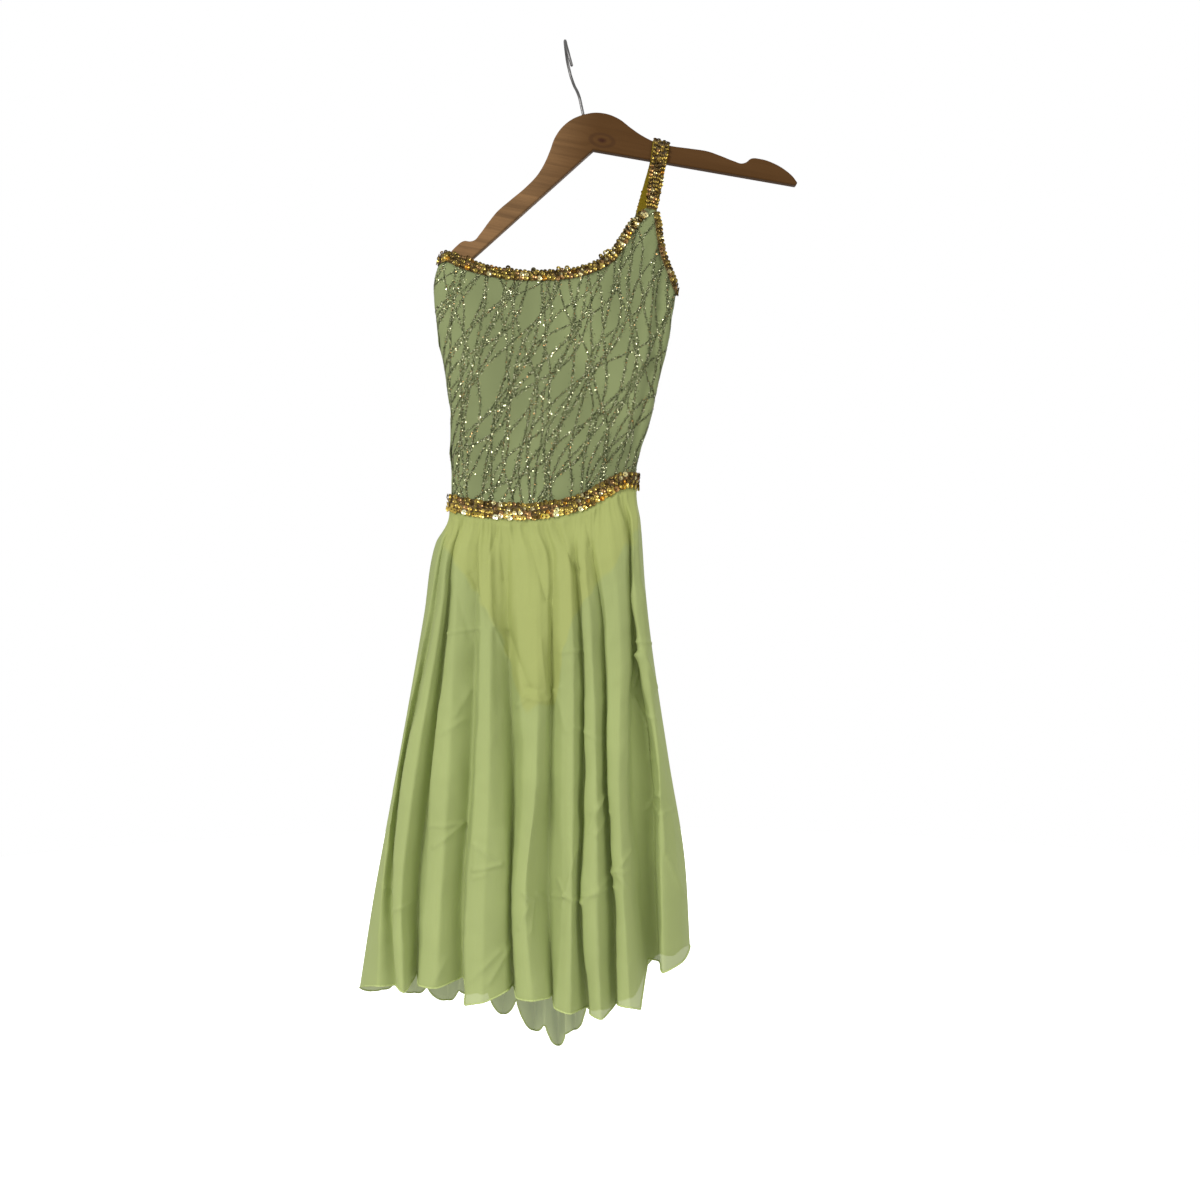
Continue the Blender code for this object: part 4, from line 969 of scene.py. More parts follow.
class Finish:
    """Node tree of one material, built round its Principled shader."""

    def __init__(self, name, sockets):
        self.material = bpy.data.materials.new(name)
        self.material.use_nodes = True
        self.tree = self.material.node_tree
        self.shader = self.tree.nodes["Principled BSDF"]
        self.connect(self.shader, sockets)

    def connect(self, node, sockets):
        for key, value in sockets.items():
            if isinstance(value, Socket):
                self.tree.links.new(value.output, node.inputs[key])
            else:
                node.inputs[key].default_value = value

    def node(self, kind, settings=None, sockets=None, output=0):
        """Output of a new node, whose settings are made before its sockets."""
        made = self.tree.nodes.new(kind)
        for key, value in (settings or {}).items():
            setattr(made, key, value)
        self.connect(made, sockets or {})
        return Socket(self, made.outputs[output])

    def maths(self, operation, first, second=0.0):
        return self.node("ShaderNodeMath", {"operation": operation}, {0: first, 1: second})

    def place(self, source="Object"):
        return self.node("ShaderNodeTexCoord", output=source)

    def split(self, vector):
        parts = self.node("ShaderNodeSeparateXYZ", {}, {0: vector}).output.node
        return [Socket(self, output) for output in parts.outputs]

    def moved(self, vector, scale, turn=(0.0, 0.0, 0.0)):
        sockets = {"Vector": vector, "Scale": scale, "Rotation": turn}
        return self.node("ShaderNodeMapping", {}, sockets)

    def noise(self, vector, scale, detail=2.0, roughness=0.5, distortion=0.0):
        sockets = {"Vector": vector, "Scale": scale, "Detail": detail, "Roughness": roughness}
        sockets["Distortion"] = distortion
        return self.node("ShaderNodeTexNoise", {}, sockets, "Fac")

    def grain(self, vector, scale, detail=2.0, roughness=0.5, distortion=0.0):
        """Noise at a place that is first drawn out by a scale on each axis."""
        return self.noise(self.moved(vector, scale), 1.0, detail, roughness, distortion)

    def ramp(self, value, low, high):
        """Smooth step from 0 at the low value to 1 at the high one."""
        settings = {"interpolation_type": "SMOOTHSTEP"}
        return self.node("ShaderNodeMapRange", settings, {0: value, 1: low, 2: high})

    def mixed(self, share, first, second):
        """Blend of two colours by a share between 0 and 1."""
        settings = {"data_type": "RGBA", "clamp_factor": True}
        sockets = {0: share, 6: colour(first), 7: colour(second)}
        return self.node("ShaderNodeMix", settings, sockets, 2)

    def shaded(self, tone, value):
        """Colour times a number."""
        settings = {"operation": "SCALE"}
        return self.node("ShaderNodeVectorMath", settings, {0: tone, "Scale": value})

    def bumped(self, height, distance, strength=1.0):
        """Normal of a height between 0 and 1 over a distance in metres."""
        sockets = {"Height": height, "Distance": distance, "Strength": strength}
        return self.node("ShaderNodeBump", {}, sockets, "Normal")

    def finish(self, sockets):
        self.connect(self.shader, sockets)
        return self.material

    def bumpy(self, base, height, distance, strength):
        """The material, from its colour and the height of its fine relief."""
        return self.finish({"Base Color": base, "Normal": self.bumped(height, distance, strength)})

    def see_light_through(self, tone, share):
        """Mixes in light that passes through the cloth, by a constant share."""
        glow = self.node("ShaderNodeBsdfTranslucent", {}, {"Color": tone})
        output = self.tree.nodes["Material Output"]
        shader = Socket(self, self.shader.outputs[0])
        both = self.node("ShaderNodeMixShader", {}, {0: share, 1: shader, 2: glow})
        self.connect(output, {"Surface": both})


def colour(value):
    """A colour as the four numbers that a socket takes, or a socket as it is."""
    return value if isinstance(value, Socket) else (*tuple(value)[:3], 1.0)


def scaled(tone, factor):
    """A colour times a number, kept within 0 and 1."""
    return tuple(min(1.0, channel * factor) for channel in tuple(tone)[:3])


def chiffon_finish(tone, knit, cover):
    """Sheer crepe: fine upright slubs, a pebbled face, light let through, and painted shade beside
    the briefs, where the skirt's hollow lies behind it.

    The glow is opaque, so the alpha of the rest is what leaves the whole its cover.
    """
    alpha = (cover - CHIFFON_GLOW) / (1.0 - CHIFFON_GLOW)
    sockets = {"Roughness": 0.62, "Sheen Weight": 0.06, "Sheen Roughness": 0.4, "Alpha": alpha}
    finish = Finish("chiffon_crepe", {**sockets, "Specular IOR Level": 0.12})
    cut = finish.place("UV")
    slubs = finish.grain(cut, (900.0, 30.0, 1.0), 3.0, 0.6)
    patches = finish.grain(cut, (14.0, 7.0, 1.0), 2.0)
    pebbles = finish.grain(cut, (1400.0, 1400.0, 1.0), 1.0)
    light = finish.mixed(slubs, scaled(tone, 0.93), scaled(tone, 1.07))
    cloth = finish.mixed(finish.ramp(patches, 0.3, 0.75), light, scaled(tone, 0.94))
    behind = finish.node("ShaderNodeAttribute", {"attribute_name": "knit_behind"}, {}, "Fac")
    _, down, _ = finish.split(cut)
    # Painted shade: below the waist and beside the briefs, the colour is darkened for the shaded
    # hollow behind the chiffon.
    beside = finish.ramp(down, *HOLLOW_REACH) * (1.0 - behind)
    seen = finish.mixed(behind * KNIT_SHOWS, cloth, scaled(knit, 1.10))
    base = finish.shaded(seen, 1.0 - beside * HOLLOW_SHADE)
    height = pebbles * 0.6 + slubs * 0.4
    finish.see_light_through(base, CHIFFON_GLOW)
    return finish.bumpy(base, height, 0.00022, 0.5)


def hem_finish(tone):
    """Rolled hem: the chiffon's colour, paler, with close cross stitches along it."""
    finish = Finish("rolled_hem_thread", {"Roughness": 0.6, "Specular IOR Level": 0.15})
    strands = finish.grain(finish.place(), (900.0, 900.0, 900.0), 2.0)
    base = finish.mixed(strands, scaled(tone, 0.92), scaled(tone, 1.25))
    return finish.bumpy(base, strands, 0.0003, 0.6)


def glitter_phase(across, up, family, sine):
    """Count of glitter lines of one family up to a place on the bodice.

    It is the distance square to the lines over their spacing, plus a slow sideways swing. The
    sine is given, so that numbers and shader sockets share the formula.
    """
    lean, spacing, offset, swing, length = family
    turn = math.radians(lean)
    wave = 2 * math.pi / length
    square = across * (math.cos(turn) / spacing) - up * (math.sin(turn) / spacing)
    sway = sine(up * wave + across * (wave * 0.6)) * swing
    ripple = sine(up * (wave * 2.7) - across * (wave * 1.9)) * (swing * 0.18)
    return square + sway + ripple + offset


def knit_height(finish, cut):
    """Fine ribs of a stretch knit: two crossing waves about 0.7 mm apart."""
    across, up, _ = finish.split(finish.moved(cut, (1000.0, 1000.0, 1.0)))
    loops = finish.maths("SINE", across * 9.0)
    rows = finish.maths("SINE", up * 7.0)
    return (loops * rows) * 0.5 + 0.5


def bodice_finish(tone):
    """Matt sage knit with crossing dark lines of glitter, broken into silver and gold specks, on a
    ground whose slow mottle is partly random tone and partly painted soft shading.
    """
    finish = Finish("glitter_knit", {"Sheen Weight": 0.04, "Specular IOR Level": 0.15})
    cut = finish.place("UV")
    across, up, _ = finish.split(finish.moved(cut, (1000.0, 1000.0, 1.0)))

    def sine(value):
        return finish.maths("SINE", value)

    fray = (finish.grain(cut, (700.0, 700.0, 1.0), 2.0) - 0.5) * 2.2
    lines = None
    for family in GLITTER_FAMILIES:
        phase = glitter_phase(across, up, family, sine)
        fraction = finish.maths("FRACT", phase)
        away = abs(fraction - 0.5) * family[1] + fray
        band = 1.0 - finish.ramp(away, GLITTER_BAND * 0.5, GLITTER_BAND * 1.5)
        lines = band if lines is None else finish.maths("MAXIMUM", lines, band)
    thin = finish.ramp(finish.grain(cut, (26.0, 22.0, 1.0), 3.0), 0.22, 0.52)
    dark = lines * (thin * 0.75 + 0.25)
    specks = finish.grain(cut, (1050.0, 1050.0, 1.0), 0.0)
    flecks = finish.ramp(specks, 0.60, 0.66) * dark
    # The ground's slow mottle, from 0.84 to 1.12 of the tone, is partly random tone and partly
    # painted soft shading of the stretched knit.
    cloud = finish.grain(cut, (9.0, 6.0, 1.0), 2.0)
    ground = finish.mixed(finish.ramp(cloud, 0.3, 0.7), scaled(tone, 0.84), scaled(tone, 1.12))
    inked = finish.mixed(dark * 0.66, ground, GLITTER_INK)
    base = finish.mixed(flecks, inked, GLITTER_FLECK)
    height = knit_height(finish, cut) * 0.5 + dark * 0.5
    sockets = {
        "Base Color": base,
        "Metallic": flecks,
        "Roughness": 0.72 - flecks * 0.42,
        "Normal": finish.bumped(height, 0.0003, 0.5),
    }
    return finish.finish(sockets)


def briefs_finish(tone):
    """Matt yellow-green stretch knit."""
    finish = Finish("brief_knit", {"Roughness": 0.66, "Specular IOR Level": 0.15})
    cut = finish.place("UV")
    cloud = finish.grain(cut, (16.0, 12.0, 1.0), 2.0)
    base = finish.mixed(cloud, scaled(tone, 0.93), scaled(tone, 1.07))
    return finish.bumpy(base, knit_height(finish, cut), 0.0003, 0.5)


def lining_finish(tone):
    """Yellow elastic: ribs along the strap and fine cross threads, painted darker in the grooves
    and paler on the ribs' tops, as painted shade and light.
    """
    finish = Finish("ribbed_elastic", {"Roughness": 0.6, "Specular IOR Level": 0.1})
    cut = finish.place("UV")
    _, across, _ = finish.split(finish.moved(cut, (1000.0, 1000.0, 1.0)))
    ribs = finish.maths("SINE", across * 3.6) * 0.5 + 0.5
    threads = finish.grain(cut, (1600.0, 500.0, 1.0), 2.0)
    height = ribs * 0.7 + threads * 0.3
    # Painted shade and light: the colour follows the relief, darker in the grooves between ribs
    # and paler on their tops.
    base = finish.mixed(height, scaled(tone, 0.72), scaled(tone, 1.18))
    return finish.bumpy(base, height, 0.0005, 0.7)


def braid_finish():
    """Dark bronze braid under the sequins: close crossing threads, painted paler on their raised
    tops and darker in the gaps, as painted light and shade.
    """
    finish = Finish("bronze_braid", {"Roughness": 0.55, "Metallic": 0.25})
    place = finish.place()
    threads = finish.grain(place, (650.0, 650.0, 900.0), 3.0, 0.6, 0.6)
    # Painted light and shade: the colour follows the threads' relief, pale bronze on their tops
    # and dark in the gaps between them.
    painted_thread_light = finish.ramp(threads, 0.36, 0.66)
    base = finish.mixed(painted_thread_light, BRAID_DARK, BRAID_PALE)
    return finish.bumpy(base, threads, 0.0010, 0.9)


def sequin_finish(name):
    """Polished cups in the tint of each, with faint streaks."""
    finish = Finish(name, {"Metallic": 0.92, "Specular IOR Level": 0.6})
    tint = finish.node("ShaderNodeAttribute", {"attribute_name": "tint"}, {}, "Color")
    streaks = finish.grain(finish.place(), (1500.0, 1500.0, 1500.0), 1.0)
    base = finish.shaded(tint, streaks * 0.35 + 0.82)
    return finish.finish({"Base Color": base, "Roughness": streaks * 0.22 + 0.16})


def wood_finish(tone):
    """Varnished wood: long fine grain that flows round one knot, darker to the right.

    The grain runs along a line tipped down to the right. A knot pushes it aside: the distance
    across the grain is drawn out where the ring about the knot is close.
    """
    finish = Finish("varnished_wood", {"Roughness": 0.5, "Specular IOR Level": 0.09})
    turned = finish.moved(finish.place(), (1.0, 1.0, 1.0), (0.0, WOOD_GRAIN_LEAN, 0.0))
    along, depth, across = finish.split(turned)
    away_x = (along - KNOT_PLACE[0]) * 0.55
    away_z = across - KNOT_PLACE[1]
    near = finish.maths("SQRT", away_x * away_x + away_z * away_z)
    knot = 1.0 - finish.ramp(near, 0.002, 0.016)
    bent = across + knot * away_z * 1.1
    flow = {0: along * 4.0, 1: depth * 60.0, 2: bent * 130.0}
    grain_place = finish.node("ShaderNodeCombineXYZ", {}, flow)
    grain = finish.noise(grain_place, 1.0, 5.0, 0.62, 0.5)
    pores_place = {0: along * 45.0, 1: depth * 900.0, 2: bent * 1500.0}
    pores = finish.noise(finish.node("ShaderNodeCombineXYZ", {}, pores_place), 1.0, 2.0, 0.6)
    broad = finish.grain(turned, (9.0, 9.0, 26.0), 2.0)
    pale = finish.mixed(finish.ramp(grain, 0.30, 0.72), scaled(tone, 0.72), scaled(tone, 1.16))
    shade = finish.mixed(finish.ramp(broad, 0.32, 0.70), pale, finish.shaded(pale, 0.84))
    right = finish.ramp(along, *WOOD_DARKENS)
    red = finish.mixed(0.75, finish.shaded(shade, 0.55), WOOD_RED)
    wood = finish.mixed(right, shade, red)
    core = 1.0 - finish.ramp(near, 0.0008, 0.0042)
    edge = 1.0 - finish.ramp(abs(near - 0.0075), 0.0006, 0.0024)
    ringed = finish.mixed(edge * 0.5, wood, KNOT_RING)
    knotted = finish.mixed(core * 0.9, ringed, KNOT_CORE)
    base = finish.mixed(finish.ramp(pores, 0.58, 0.78) * 0.4, knotted, PORE_TONE)
    height = grain * 0.6 + pores * 0.4
    return finish.bumpy(base, height, 0.00025, 0.35)


def metal_finish():
    """Drawn wire: bright metal with fine scratches round it."""
    finish = Finish("drawn_wire", {"Metallic": 1.0})
    scratches = finish.grain(finish.place(), (300.0, 300.0, 500.0), 2.0)
    base = finish.mixed(scratches, WIRE_DARK, WIRE_PALE)
    return finish.finish({"Base Color": base, "Roughness": scratches * 0.15 + 0.36})


def floor_finish():
    """Plain pale floor with the faintest mottle."""
    finish = Finish("pale_floor", {"Roughness": 0.85, "Emission Strength": FLOOR_GLOW})
    mottle = finish.noise(finish.place(), 2.0, 2.0)
    pale = finish.mixed(mottle, FLOOR_DARK, FLOOR_PALE)
    return finish.finish({"Base Color": pale, "Emission Color": pale})


def panel_places(back, columns):
    """Even ring places across the front or the back, half a seam gap inside the side seams."""
    first = 1.0 if back else 0.0
    inset = SEAM_GAP / 2 / float(panel_width(WAIST_FRONT[0][1], back))
    return np.linspace(first + inset, first + 1.0 - inset, columns)


def panel_width(height, back):
    """Arc length across the front or the back of the ring at a height."""
    half = LEVELS[:, RING_STEPS:] if back else LEVELS[:, : RING_STEPS + 1]
    widths = np.linalg.norm(np.diff(half, axis=1), axis=-1).sum(axis=1)
    return np.interp(height, LEVEL_HEIGHTS, widths)


def bodice_height(places, way, back):
    """Height at a share of the way from the waist seam to the top edge."""
    top, _, _ = top_edge(back)
    low = waist_height(places) + SEAM_GAP / 2
    return low + (top(places) - low) * way


def bodice_point(places, way, lift, back):
    """Point of the bodice's face: the leotard tube, raised by creases and slow unevenness.

    The relief fades to nothing towards the waist seam and the top edge, where the trims lie.
    """
    heights = bodice_height(places, way, back)
    x, z = tube(places, heights)[..., 0], heights
    creases = BODICE_CREASES_BACK if back else BODICE_CREASES_FRONT
    relief = crease_relief(x, z, creases) * BODICE_CREASE_SCALE
    for cell, height, seed in BODICE_UNEVENNESS:
        relief = relief + soft_noise(x, z, cell, seed + back) * height
    free = smooth_step(way / 0.10) * smooth_step((1.0 - way) / 0.09)
    return lifted(places, heights, relief * free + lift)


def cut_place(places, heights, back):
    """Distance across from the panel's middle line, on the cloth, and the height."""
    middle = 1.5 if back else 0.5
    return (places - middle) * panel_width(heights, back), heights


def add_knit(name, node, back, places, heights, outer, inner, finish):
    """Thin wall of knit with its cut map, in place of its node."""
    made = add_wall(name, outer, inner, finish)
    across, up = cut_place(places, heights, back)
    add_cut_map(made, [across, across], [up, up])
    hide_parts(node)
    return made


def add_bodice(name, node, back, finish):
    """Front or back of the bodice, as a thin wall of knit."""
    ways = np.linspace(0.0, 1.0, BODICE_ROWS)
    places, way = np.meshgrid(panel_places(back, KNIT_COLUMNS), ways)
    outer = bodice_point(places, way, 0.0, back)
    inner = bodice_point(places, way, -KNIT_WALL, back)
    heights = bodice_height(places, way, back)
    return add_knit(name, node, back, places, heights, outer, inner, finish)


def add_flakes(name, back, finish):
    """Specks of glitter along the pattern's lines, each a tiny tilted square on the knit."""
    random = np.random.default_rng(FLAKE_SEED + back)
    tries = FLAKES_A_PANEL * FLAKE_TRIES
    places = random.uniform(0.004, 0.996, tries) + (1.0 if back else 0.0)
    way = random.uniform(0.01, 0.985, tries)
    across, up = cut_place(places, bodice_height(places, way, back), back)
    away = np.full(tries, 99.0)
    for family in GLITTER_FAMILIES:
        phase = glitter_phase(across, up, family, np.sin)
        away = np.minimum(away, np.abs(phase % 1.0 - 0.5) * family[1])
    kept = np.flatnonzero(away < np.abs(random.normal(0.0, FLAKE_SPREAD, tries)))
    kept = kept[:FLAKES_A_PANEL]
    places, way = places[kept], way[kept]
    centres = bodice_point(places, way, FLAKE_LIFT, back)
    outward = bodice_point(places, way, FLAKE_LIFT + 1.0, back) - centres
    along = bodice_point(places + 0.002, way, FLAKE_LIFT, back) - centres
    count = len(kept)
    tilts = random.normal(0.0, 0.34, (count, 2))
    axes = tilted_axes(along, outward, tilts, random.uniform(0, math.pi, count))
    tints = picked_tints(random, count, FLAKE_TINTS)
    size = FLAKE_SIZE * (1.0 + GLINT_SIZE * tints.mean(axis=1)) * random.uniform(0.6, 1.15, count)
    axes = axes * size[:, None, None]
    square = np.array([(-1, -1, 0), (1, -1, 0), (1, 1, 0), (-1, 1, 0)]) * 0.7
    return add_specks(
        name, centres, axes, square, [(0, 1, 2, 3)], tints, finish
    )


def add_specks(name, centres, axes, shape, faces, tints, finish):
    """One small shape at each centre, along its axes and in its own tint."""
    points, faces = many_shapes(centres, axes, shape, faces)
    made = add_piece(name, points, faces, finish)
    add_tints(made, np.repeat(tints, len(shape), axis=0))
    return made


def picked_tints(random, count, tints):
    """Random pick of colours by their shares, each varied a little in brightness."""
    shares = np.array([share for share, _ in tints])
    tones = np.array([tone for _, tone in tints])
    picked = tones[random.choice(len(tints), count, p=shares / shares.sum())]
    return picked * random.uniform(0.8, 1.2, (count, 1))


def add_brief(name, node, back, finish):
    """Front or back of the briefs, from the waist seam down to the leg edges and the crotch."""
    ways = np.linspace(1.0, 0.0, BRIEF_ROWS)
    places, way = np.meshgrid(panel_places(back, KNIT_COLUMNS), ways)
    top = waist_height(places) - SEAM_GAP / 2
    edge = smooth_curve(*edge_curve(BRIEF_EDGE, back), places)
    heights = top + (edge - top) * way
    cell, height, seed = BRIEF_UNEVENNESS
    relief = soft_noise(tube(places, heights)[..., 0], heights, cell, seed + back) * height
    relief = relief * smooth_step(way / 0.2)
    outer = lifted(places, heights, relief)
    inner = lifted(places, heights, relief - KNIT_WALL)
    return add_knit(name, node, back, places, heights, outer, inner, finish)


def skirt_grid(first_mark, last_mark, steps, creases, seed, sizes):
    """Points of one skirt panel, from under the trim to the hem, and its cut map.

    To the smooth fold surface it adds, along its normal: gathers, which are sine ridges that
    fade with the distance from the trim, the listed creases, and a slow unevenness.
    """
    step = 1.0 / steps
    marks = np.linspace(first_mark, last_mark, (last_mark - first_mark) * steps + 1)
    reach = np.concatenate([[marks[0] - step], marks, [marks[-1] + step]])
    ways = np.linspace(0.0, 1.0, SKIRT_ROWS) ** 1.1
    grid = skirt_points(reach, ways, seed)
    across = np.gradient(grid, axis=1)
    down = np.gradient(grid, axis=0)
    outward = unit(np.cross(down, across))
    drop = np.linalg.norm(np.diff(grid[1:], axis=0), axis=-1)
    drop = np.concatenate([np.zeros((2, len(reach))), np.cumsum(drop, axis=0)])
    waist_run = running_length(grid[1])[None, :]
    knee_run = running_length(grid[int(SKIRT_ROWS * 0.6)])[None, :]
    relief = np.zeros(drop.shape)
    for number, (spacing, height, length) in enumerate(GATHERS):
        shift = soft_noise(waist_run, 0.0, 40.0, seed + number) * 0.9
        wave = 0.5 + 0.5 * np.sin(2 * math.pi * (waist_run / spacing + shift))
        uneven = 0.75 + 0.5 * soft_noise(waist_run, 0.0, 24.0, seed + 20 + number)
        relief += height * uneven * wave**1.6 * np.exp(-((drop / length) ** 1.4))
    from_seam = np.minimum(reach - first_mark, last_mark - reach)
    relief *= sizes.gather_height * (0.3 + 0.7 * smooth_step(from_seam / 3.0))
    folded = crease_relief(grid[..., 0], grid[..., 2], creases, CREASE_POWER)
    relief += folded * CREASE_SCALE * sizes.crease_height
    for cell, height, more in SKIRT_UNEVENNESS:
        relief += soft_noise(knee_run, drop, cell, seed + more) * height
    relief *= smooth_step(drop / 9.0) * smooth_step(from_seam / 0.8)
    grid = (grid + outward * relief[..., None])[:, 1:-1]
    seam = unit(across[:, 1:-1])
    grid[:, 0] -= seam[:, 0] * CHIFFON_SEAM_LAP
    grid[:, -1] += seam[:, -1] * CHIFFON_SEAM_LAP
    return grid, np.broadcast_to(knee_run[:, 1:-1], grid.shape[:2]), -drop[:, 1:-1]


def add_knit_behind(made, points, back):
    """Attribute "knit_behind": 1 where knit lies behind the chiffon, 0 elsewhere.

    It is a smooth step of the height over the briefs' edge line at the same x, with the side
    seams as its ends, so the edge shows softly.
    """
    x, z = points[..., 0], points[..., 2]
    edge_x, edge_z = np.array(BRIEF_EDGE).T
    over = z - np.interp(x, edge_x, edge_z) + soft_noise(x, z, 14.0, 401 + back) * KNIT_EDGE_BLUR
    inside = np.minimum(x - edge_x[0], edge_x[-1] - x)
    share = smooth_step(over / KNIT_EDGE_BLUR + 0.5) * smooth_step(inside / KNIT_EDGE_BLUR + 0.8)
    layer = made.data.attributes.new("knit_behind", "FLOAT", "POINT")
    layer.data.foreach_set("value", share.astype(np.float32).ravel())


def add_skirt(name, node, marks, steps, creases, seed, finishes, sizes):
    """Front or back of the chiffon skirt, one sheet with a rolled and stitched hem."""
    grid, across, down = skirt_grid(*marks, steps, creases, seed, sizes)
    rows, columns = grid.shape[:2]
    faces = grid_faces(rows, columns, turned=True)
    made = add_piece(name, grid.reshape(-1, 3), faces, finishes["chiffon"])
    add_cut_map(made, across, down)
    add_knit_behind(made, grid, marks[0] > 0)
    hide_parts(node)
    hem = add_hem(name + "_hem", grid[-1], finishes["hem"], sizes.hem_radius / MM)
    return made, hem


def add_hem(name, edge, finish, radius):
    """Rolled hem: a round tube on the sheet's lower edge, with slanted stitches along it."""
    run = running_length(edge)
    path = smooth_curve(run, edge, np.linspace(0.0, run[-1], int(run[-1] / HEM_STEP)))
    length = running_length(path)
    lumpy = radius * (1.0 + 0.16 * np.sin(length * 1.1) + 0.12 * soft_noise(length, 0.0, 9.0, 71))
    points, faces = tube_along(path, lumpy, HEM_SIDES, HEM_REFERENCE)
    spots = np.arange(2.0, run[-1] - 2.0, HEM_STITCH_PITCH)
    centres = smooth_curve(run, edge, spots)
    along = smooth_curve(run, edge, spots + 0.5) - centres
    beside = unit(np.cross(along, np.broadcast_to(HEM_REFERENCE, along.shape)))
    axes = tilted_axes(along, beside, np.zeros((len(spots), 2)), np.full(len(spots), 0.7))
    stitch = np.array(BEAD_POINTS) * (1.0, HEM_STITCH_THICKNESS, HEM_STITCH_THICKNESS)
    for side in (1.0, -1.0):
        spot = centres + beside * radius * side
        more, more_faces = many_shapes(spot, axes * HEM_STITCH_SIZE, stitch, BEAD_FACES)
        faces += (more_faces + len(points)).tolist()
        points = np.concatenate([points, more])
    return add_piece(name, points, faces, finish)


def neck_route():
    """Ring places and heights of the neck edge, from the strap's back round to its front."""
    _, front, _ = top_edge(back=False)
    _, back, _ = top_edge(back=True)
    knots = np.concatenate([back[0][:-1] - 2.0, front[0]])
    heights = np.concatenate([back[1][:-1], front[1]])
    stop = NECK_TRIM_STOP / float(panel_width(heights[-1], back=False))
    places = np.linspace(knots[0] + stop, knots[-1] - stop, NECK_ROUTE_STEPS)
    return places, smooth_curve(knots, heights, places)


def armhole_route():
    """Ring places and heights of the armhole edge, from the strap's front to its back."""
    _, _, front = top_edge(back=False)
    _, _, back = top_edge(back=True)
    knots = np.concatenate([front[0][:-1], back[0][:-1]])
    heights = np.concatenate([front[1][:-1], back[1][:-1]])
    width = float(panel_width(heights[0], back=False))
    steps = np.hypot(np.diff(knots) * width, np.diff(heights))
    route = np.concatenate([[0.0], np.cumsum(steps)])
    ends = (ARMHOLE_TRIM_INSET, route[-1] - ARMHOLE_TRIM_INSET)
    along = np.linspace(*ends, ARMHOLE_ROUTE_STEPS)
    return smooth_curve(route, np.stack([knots, heights], axis=-1), along).T


def waist_route():
    """Ring places and heights of the waist seam, once round."""
    places = np.linspace(0.0, 2.0, WAIST_ROUTE_STEPS)
    return places, waist_height(places)


def route_length(route):
    return running_length(tube(*route))


def on_strip(route, along, across, lift):
    """Point at a length along an edge line, a distance square to it and a lift off the leotard.

    The distance across is measured on the unrolled ring and grows away from the free edge.
    """
    run = route_length(route)
    place, height = (np.interp(along, run, values) for values in route)
    ahead, behind = np.minimum(along + 2.0, run[-1]), np.maximum(along - 2.0, 0.0)
    ways = [np.interp(ahead, run, values) - np.interp(behind, run, values) for values in route]
    step = 1.0 / RING_STEPS
    stretch = np.linalg.norm(tube(place + step, height) - tube(place - step, height), axis=-1)
    stretch = stretch / (2 * step)
    direction = unit(np.stack([ways[0] * stretch, ways[1]], axis=-1))
    return lifted(
        place + direction[..., 1] * across / stretch, height - direction[..., 0] * across, lift
    )


def neck_width(route, along):
    """Width of the neck trim, which narrows by the strap."""
    places = np.interp(along, route_length(route), route[0])
    laps = (NECK_TRIM_LAP, NECK_TRIM_LAP_BY_STRAP)
    return NECK_TRIM_STAND + np.interp(np.abs(places), NECK_TRIM_NARROWS, laps)


def add_braid(name, node, spot, length, width, foot, finish, closed=False):
    """Low lumpy band: its face is domed across its width, over a flat underside."""
    count = int(length / BRAID_COLUMN)
    along = np.linspace(0.0, length, count + closed)[: count if closed else None]
    share, along = np.meshgrid(np.linspace(0.0, 1.0, BRAID_LINES), along, indexing="ij")
    across = (share * (1.0 - 2 * BRAID_INSET) + BRAID_INSET) * width(along)
    cell, height, seed = BRAID_LUMPS
    lumps = soft_noise(along, across, cell, seed) * height
    dome = 0.45 + 0.55 * np.sin(math.pi * np.clip(share, 0.04, 0.96)) ** 0.6
    outer = spot(along, across, foot + BRAID_WALL * dome + lumps)
    inner = spot(along, across, np.full(along.shape, foot))
    made = add_wall(name, outer, inner, finish, closed)
    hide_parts(node)
    return made


def trim_axes(spot, along, across, lift, tilts, turns):
    """Centres on a trim, and tipped and turned axes there, the first along the trim."""
    centres = spot(along, across, lift)
    outward = spot(along, across, lift + 1.0) - centres
    forward = spot(along + 0.6, across, lift) - centres
    return centres, tilted_axes(forward, outward, tilts, turns)


def add_sequins(name, spot, along, across, lift, radii, tints, random, finish):
    """Cupped discs with a centre hole, each tipped a little over the next.

    A point of a disc is its centre, plus a ring's radius times the cosine and sine of its angle
    in the disc's plane, plus a rise on its normal that grows with the square of the radius.
    """
    count = len(along)
    tilts = random.normal(0.0, SEQUIN_TILT, (count, 2)) + (SEQUIN_LEAN, 0.0)
    turns = random.uniform(0, math.pi, count)
    centres, axes = trim_axes(spot, along, across, lift, tilts, turns)
    axes = axes * np.asarray(radii)[:, None, None]
    angle = np.linspace(0.0, 2 * math.pi, SEQUIN_SIDES, endpoint=False)
    ring = np.array(SEQUIN_RINGS)[:, None]
    cup = ring**2 * SEQUIN_CUP + 0 * angle
    shape = np.stack([ring * np.cos(angle), ring * np.sin(angle), cup], axis=-1).reshape(-1, 3)
    bands = grid_faces(len(SEQUIN_RINGS), SEQUIN_SIDES, 0, closed=True, turned=True)
    return add_specks(name, centres, axes, shape, bands, tints, finish)


def sequin_rows(length, rows, random):
    """Lengths along, shares across, size shares and shades of rows of discs, unevenly pitched."""
    along, across, sizes, shades = [], [], [], []
    for share, pitch, size, shade in rows:
        spots = np.arange(pitch / 2, length - pitch / 2, pitch)
        along.append(spots + random.normal(0.0, pitch * 0.10, len(spots)))
        across.append(share + random.normal(0.0, 0.03, len(spots)))
        sizes.append(size * random.uniform(0.88, 1.1, len(spots)))
        shades.append(np.full(len(spots), shade))
    return [np.concatenate(values) for values in (along, across, sizes, shades)]


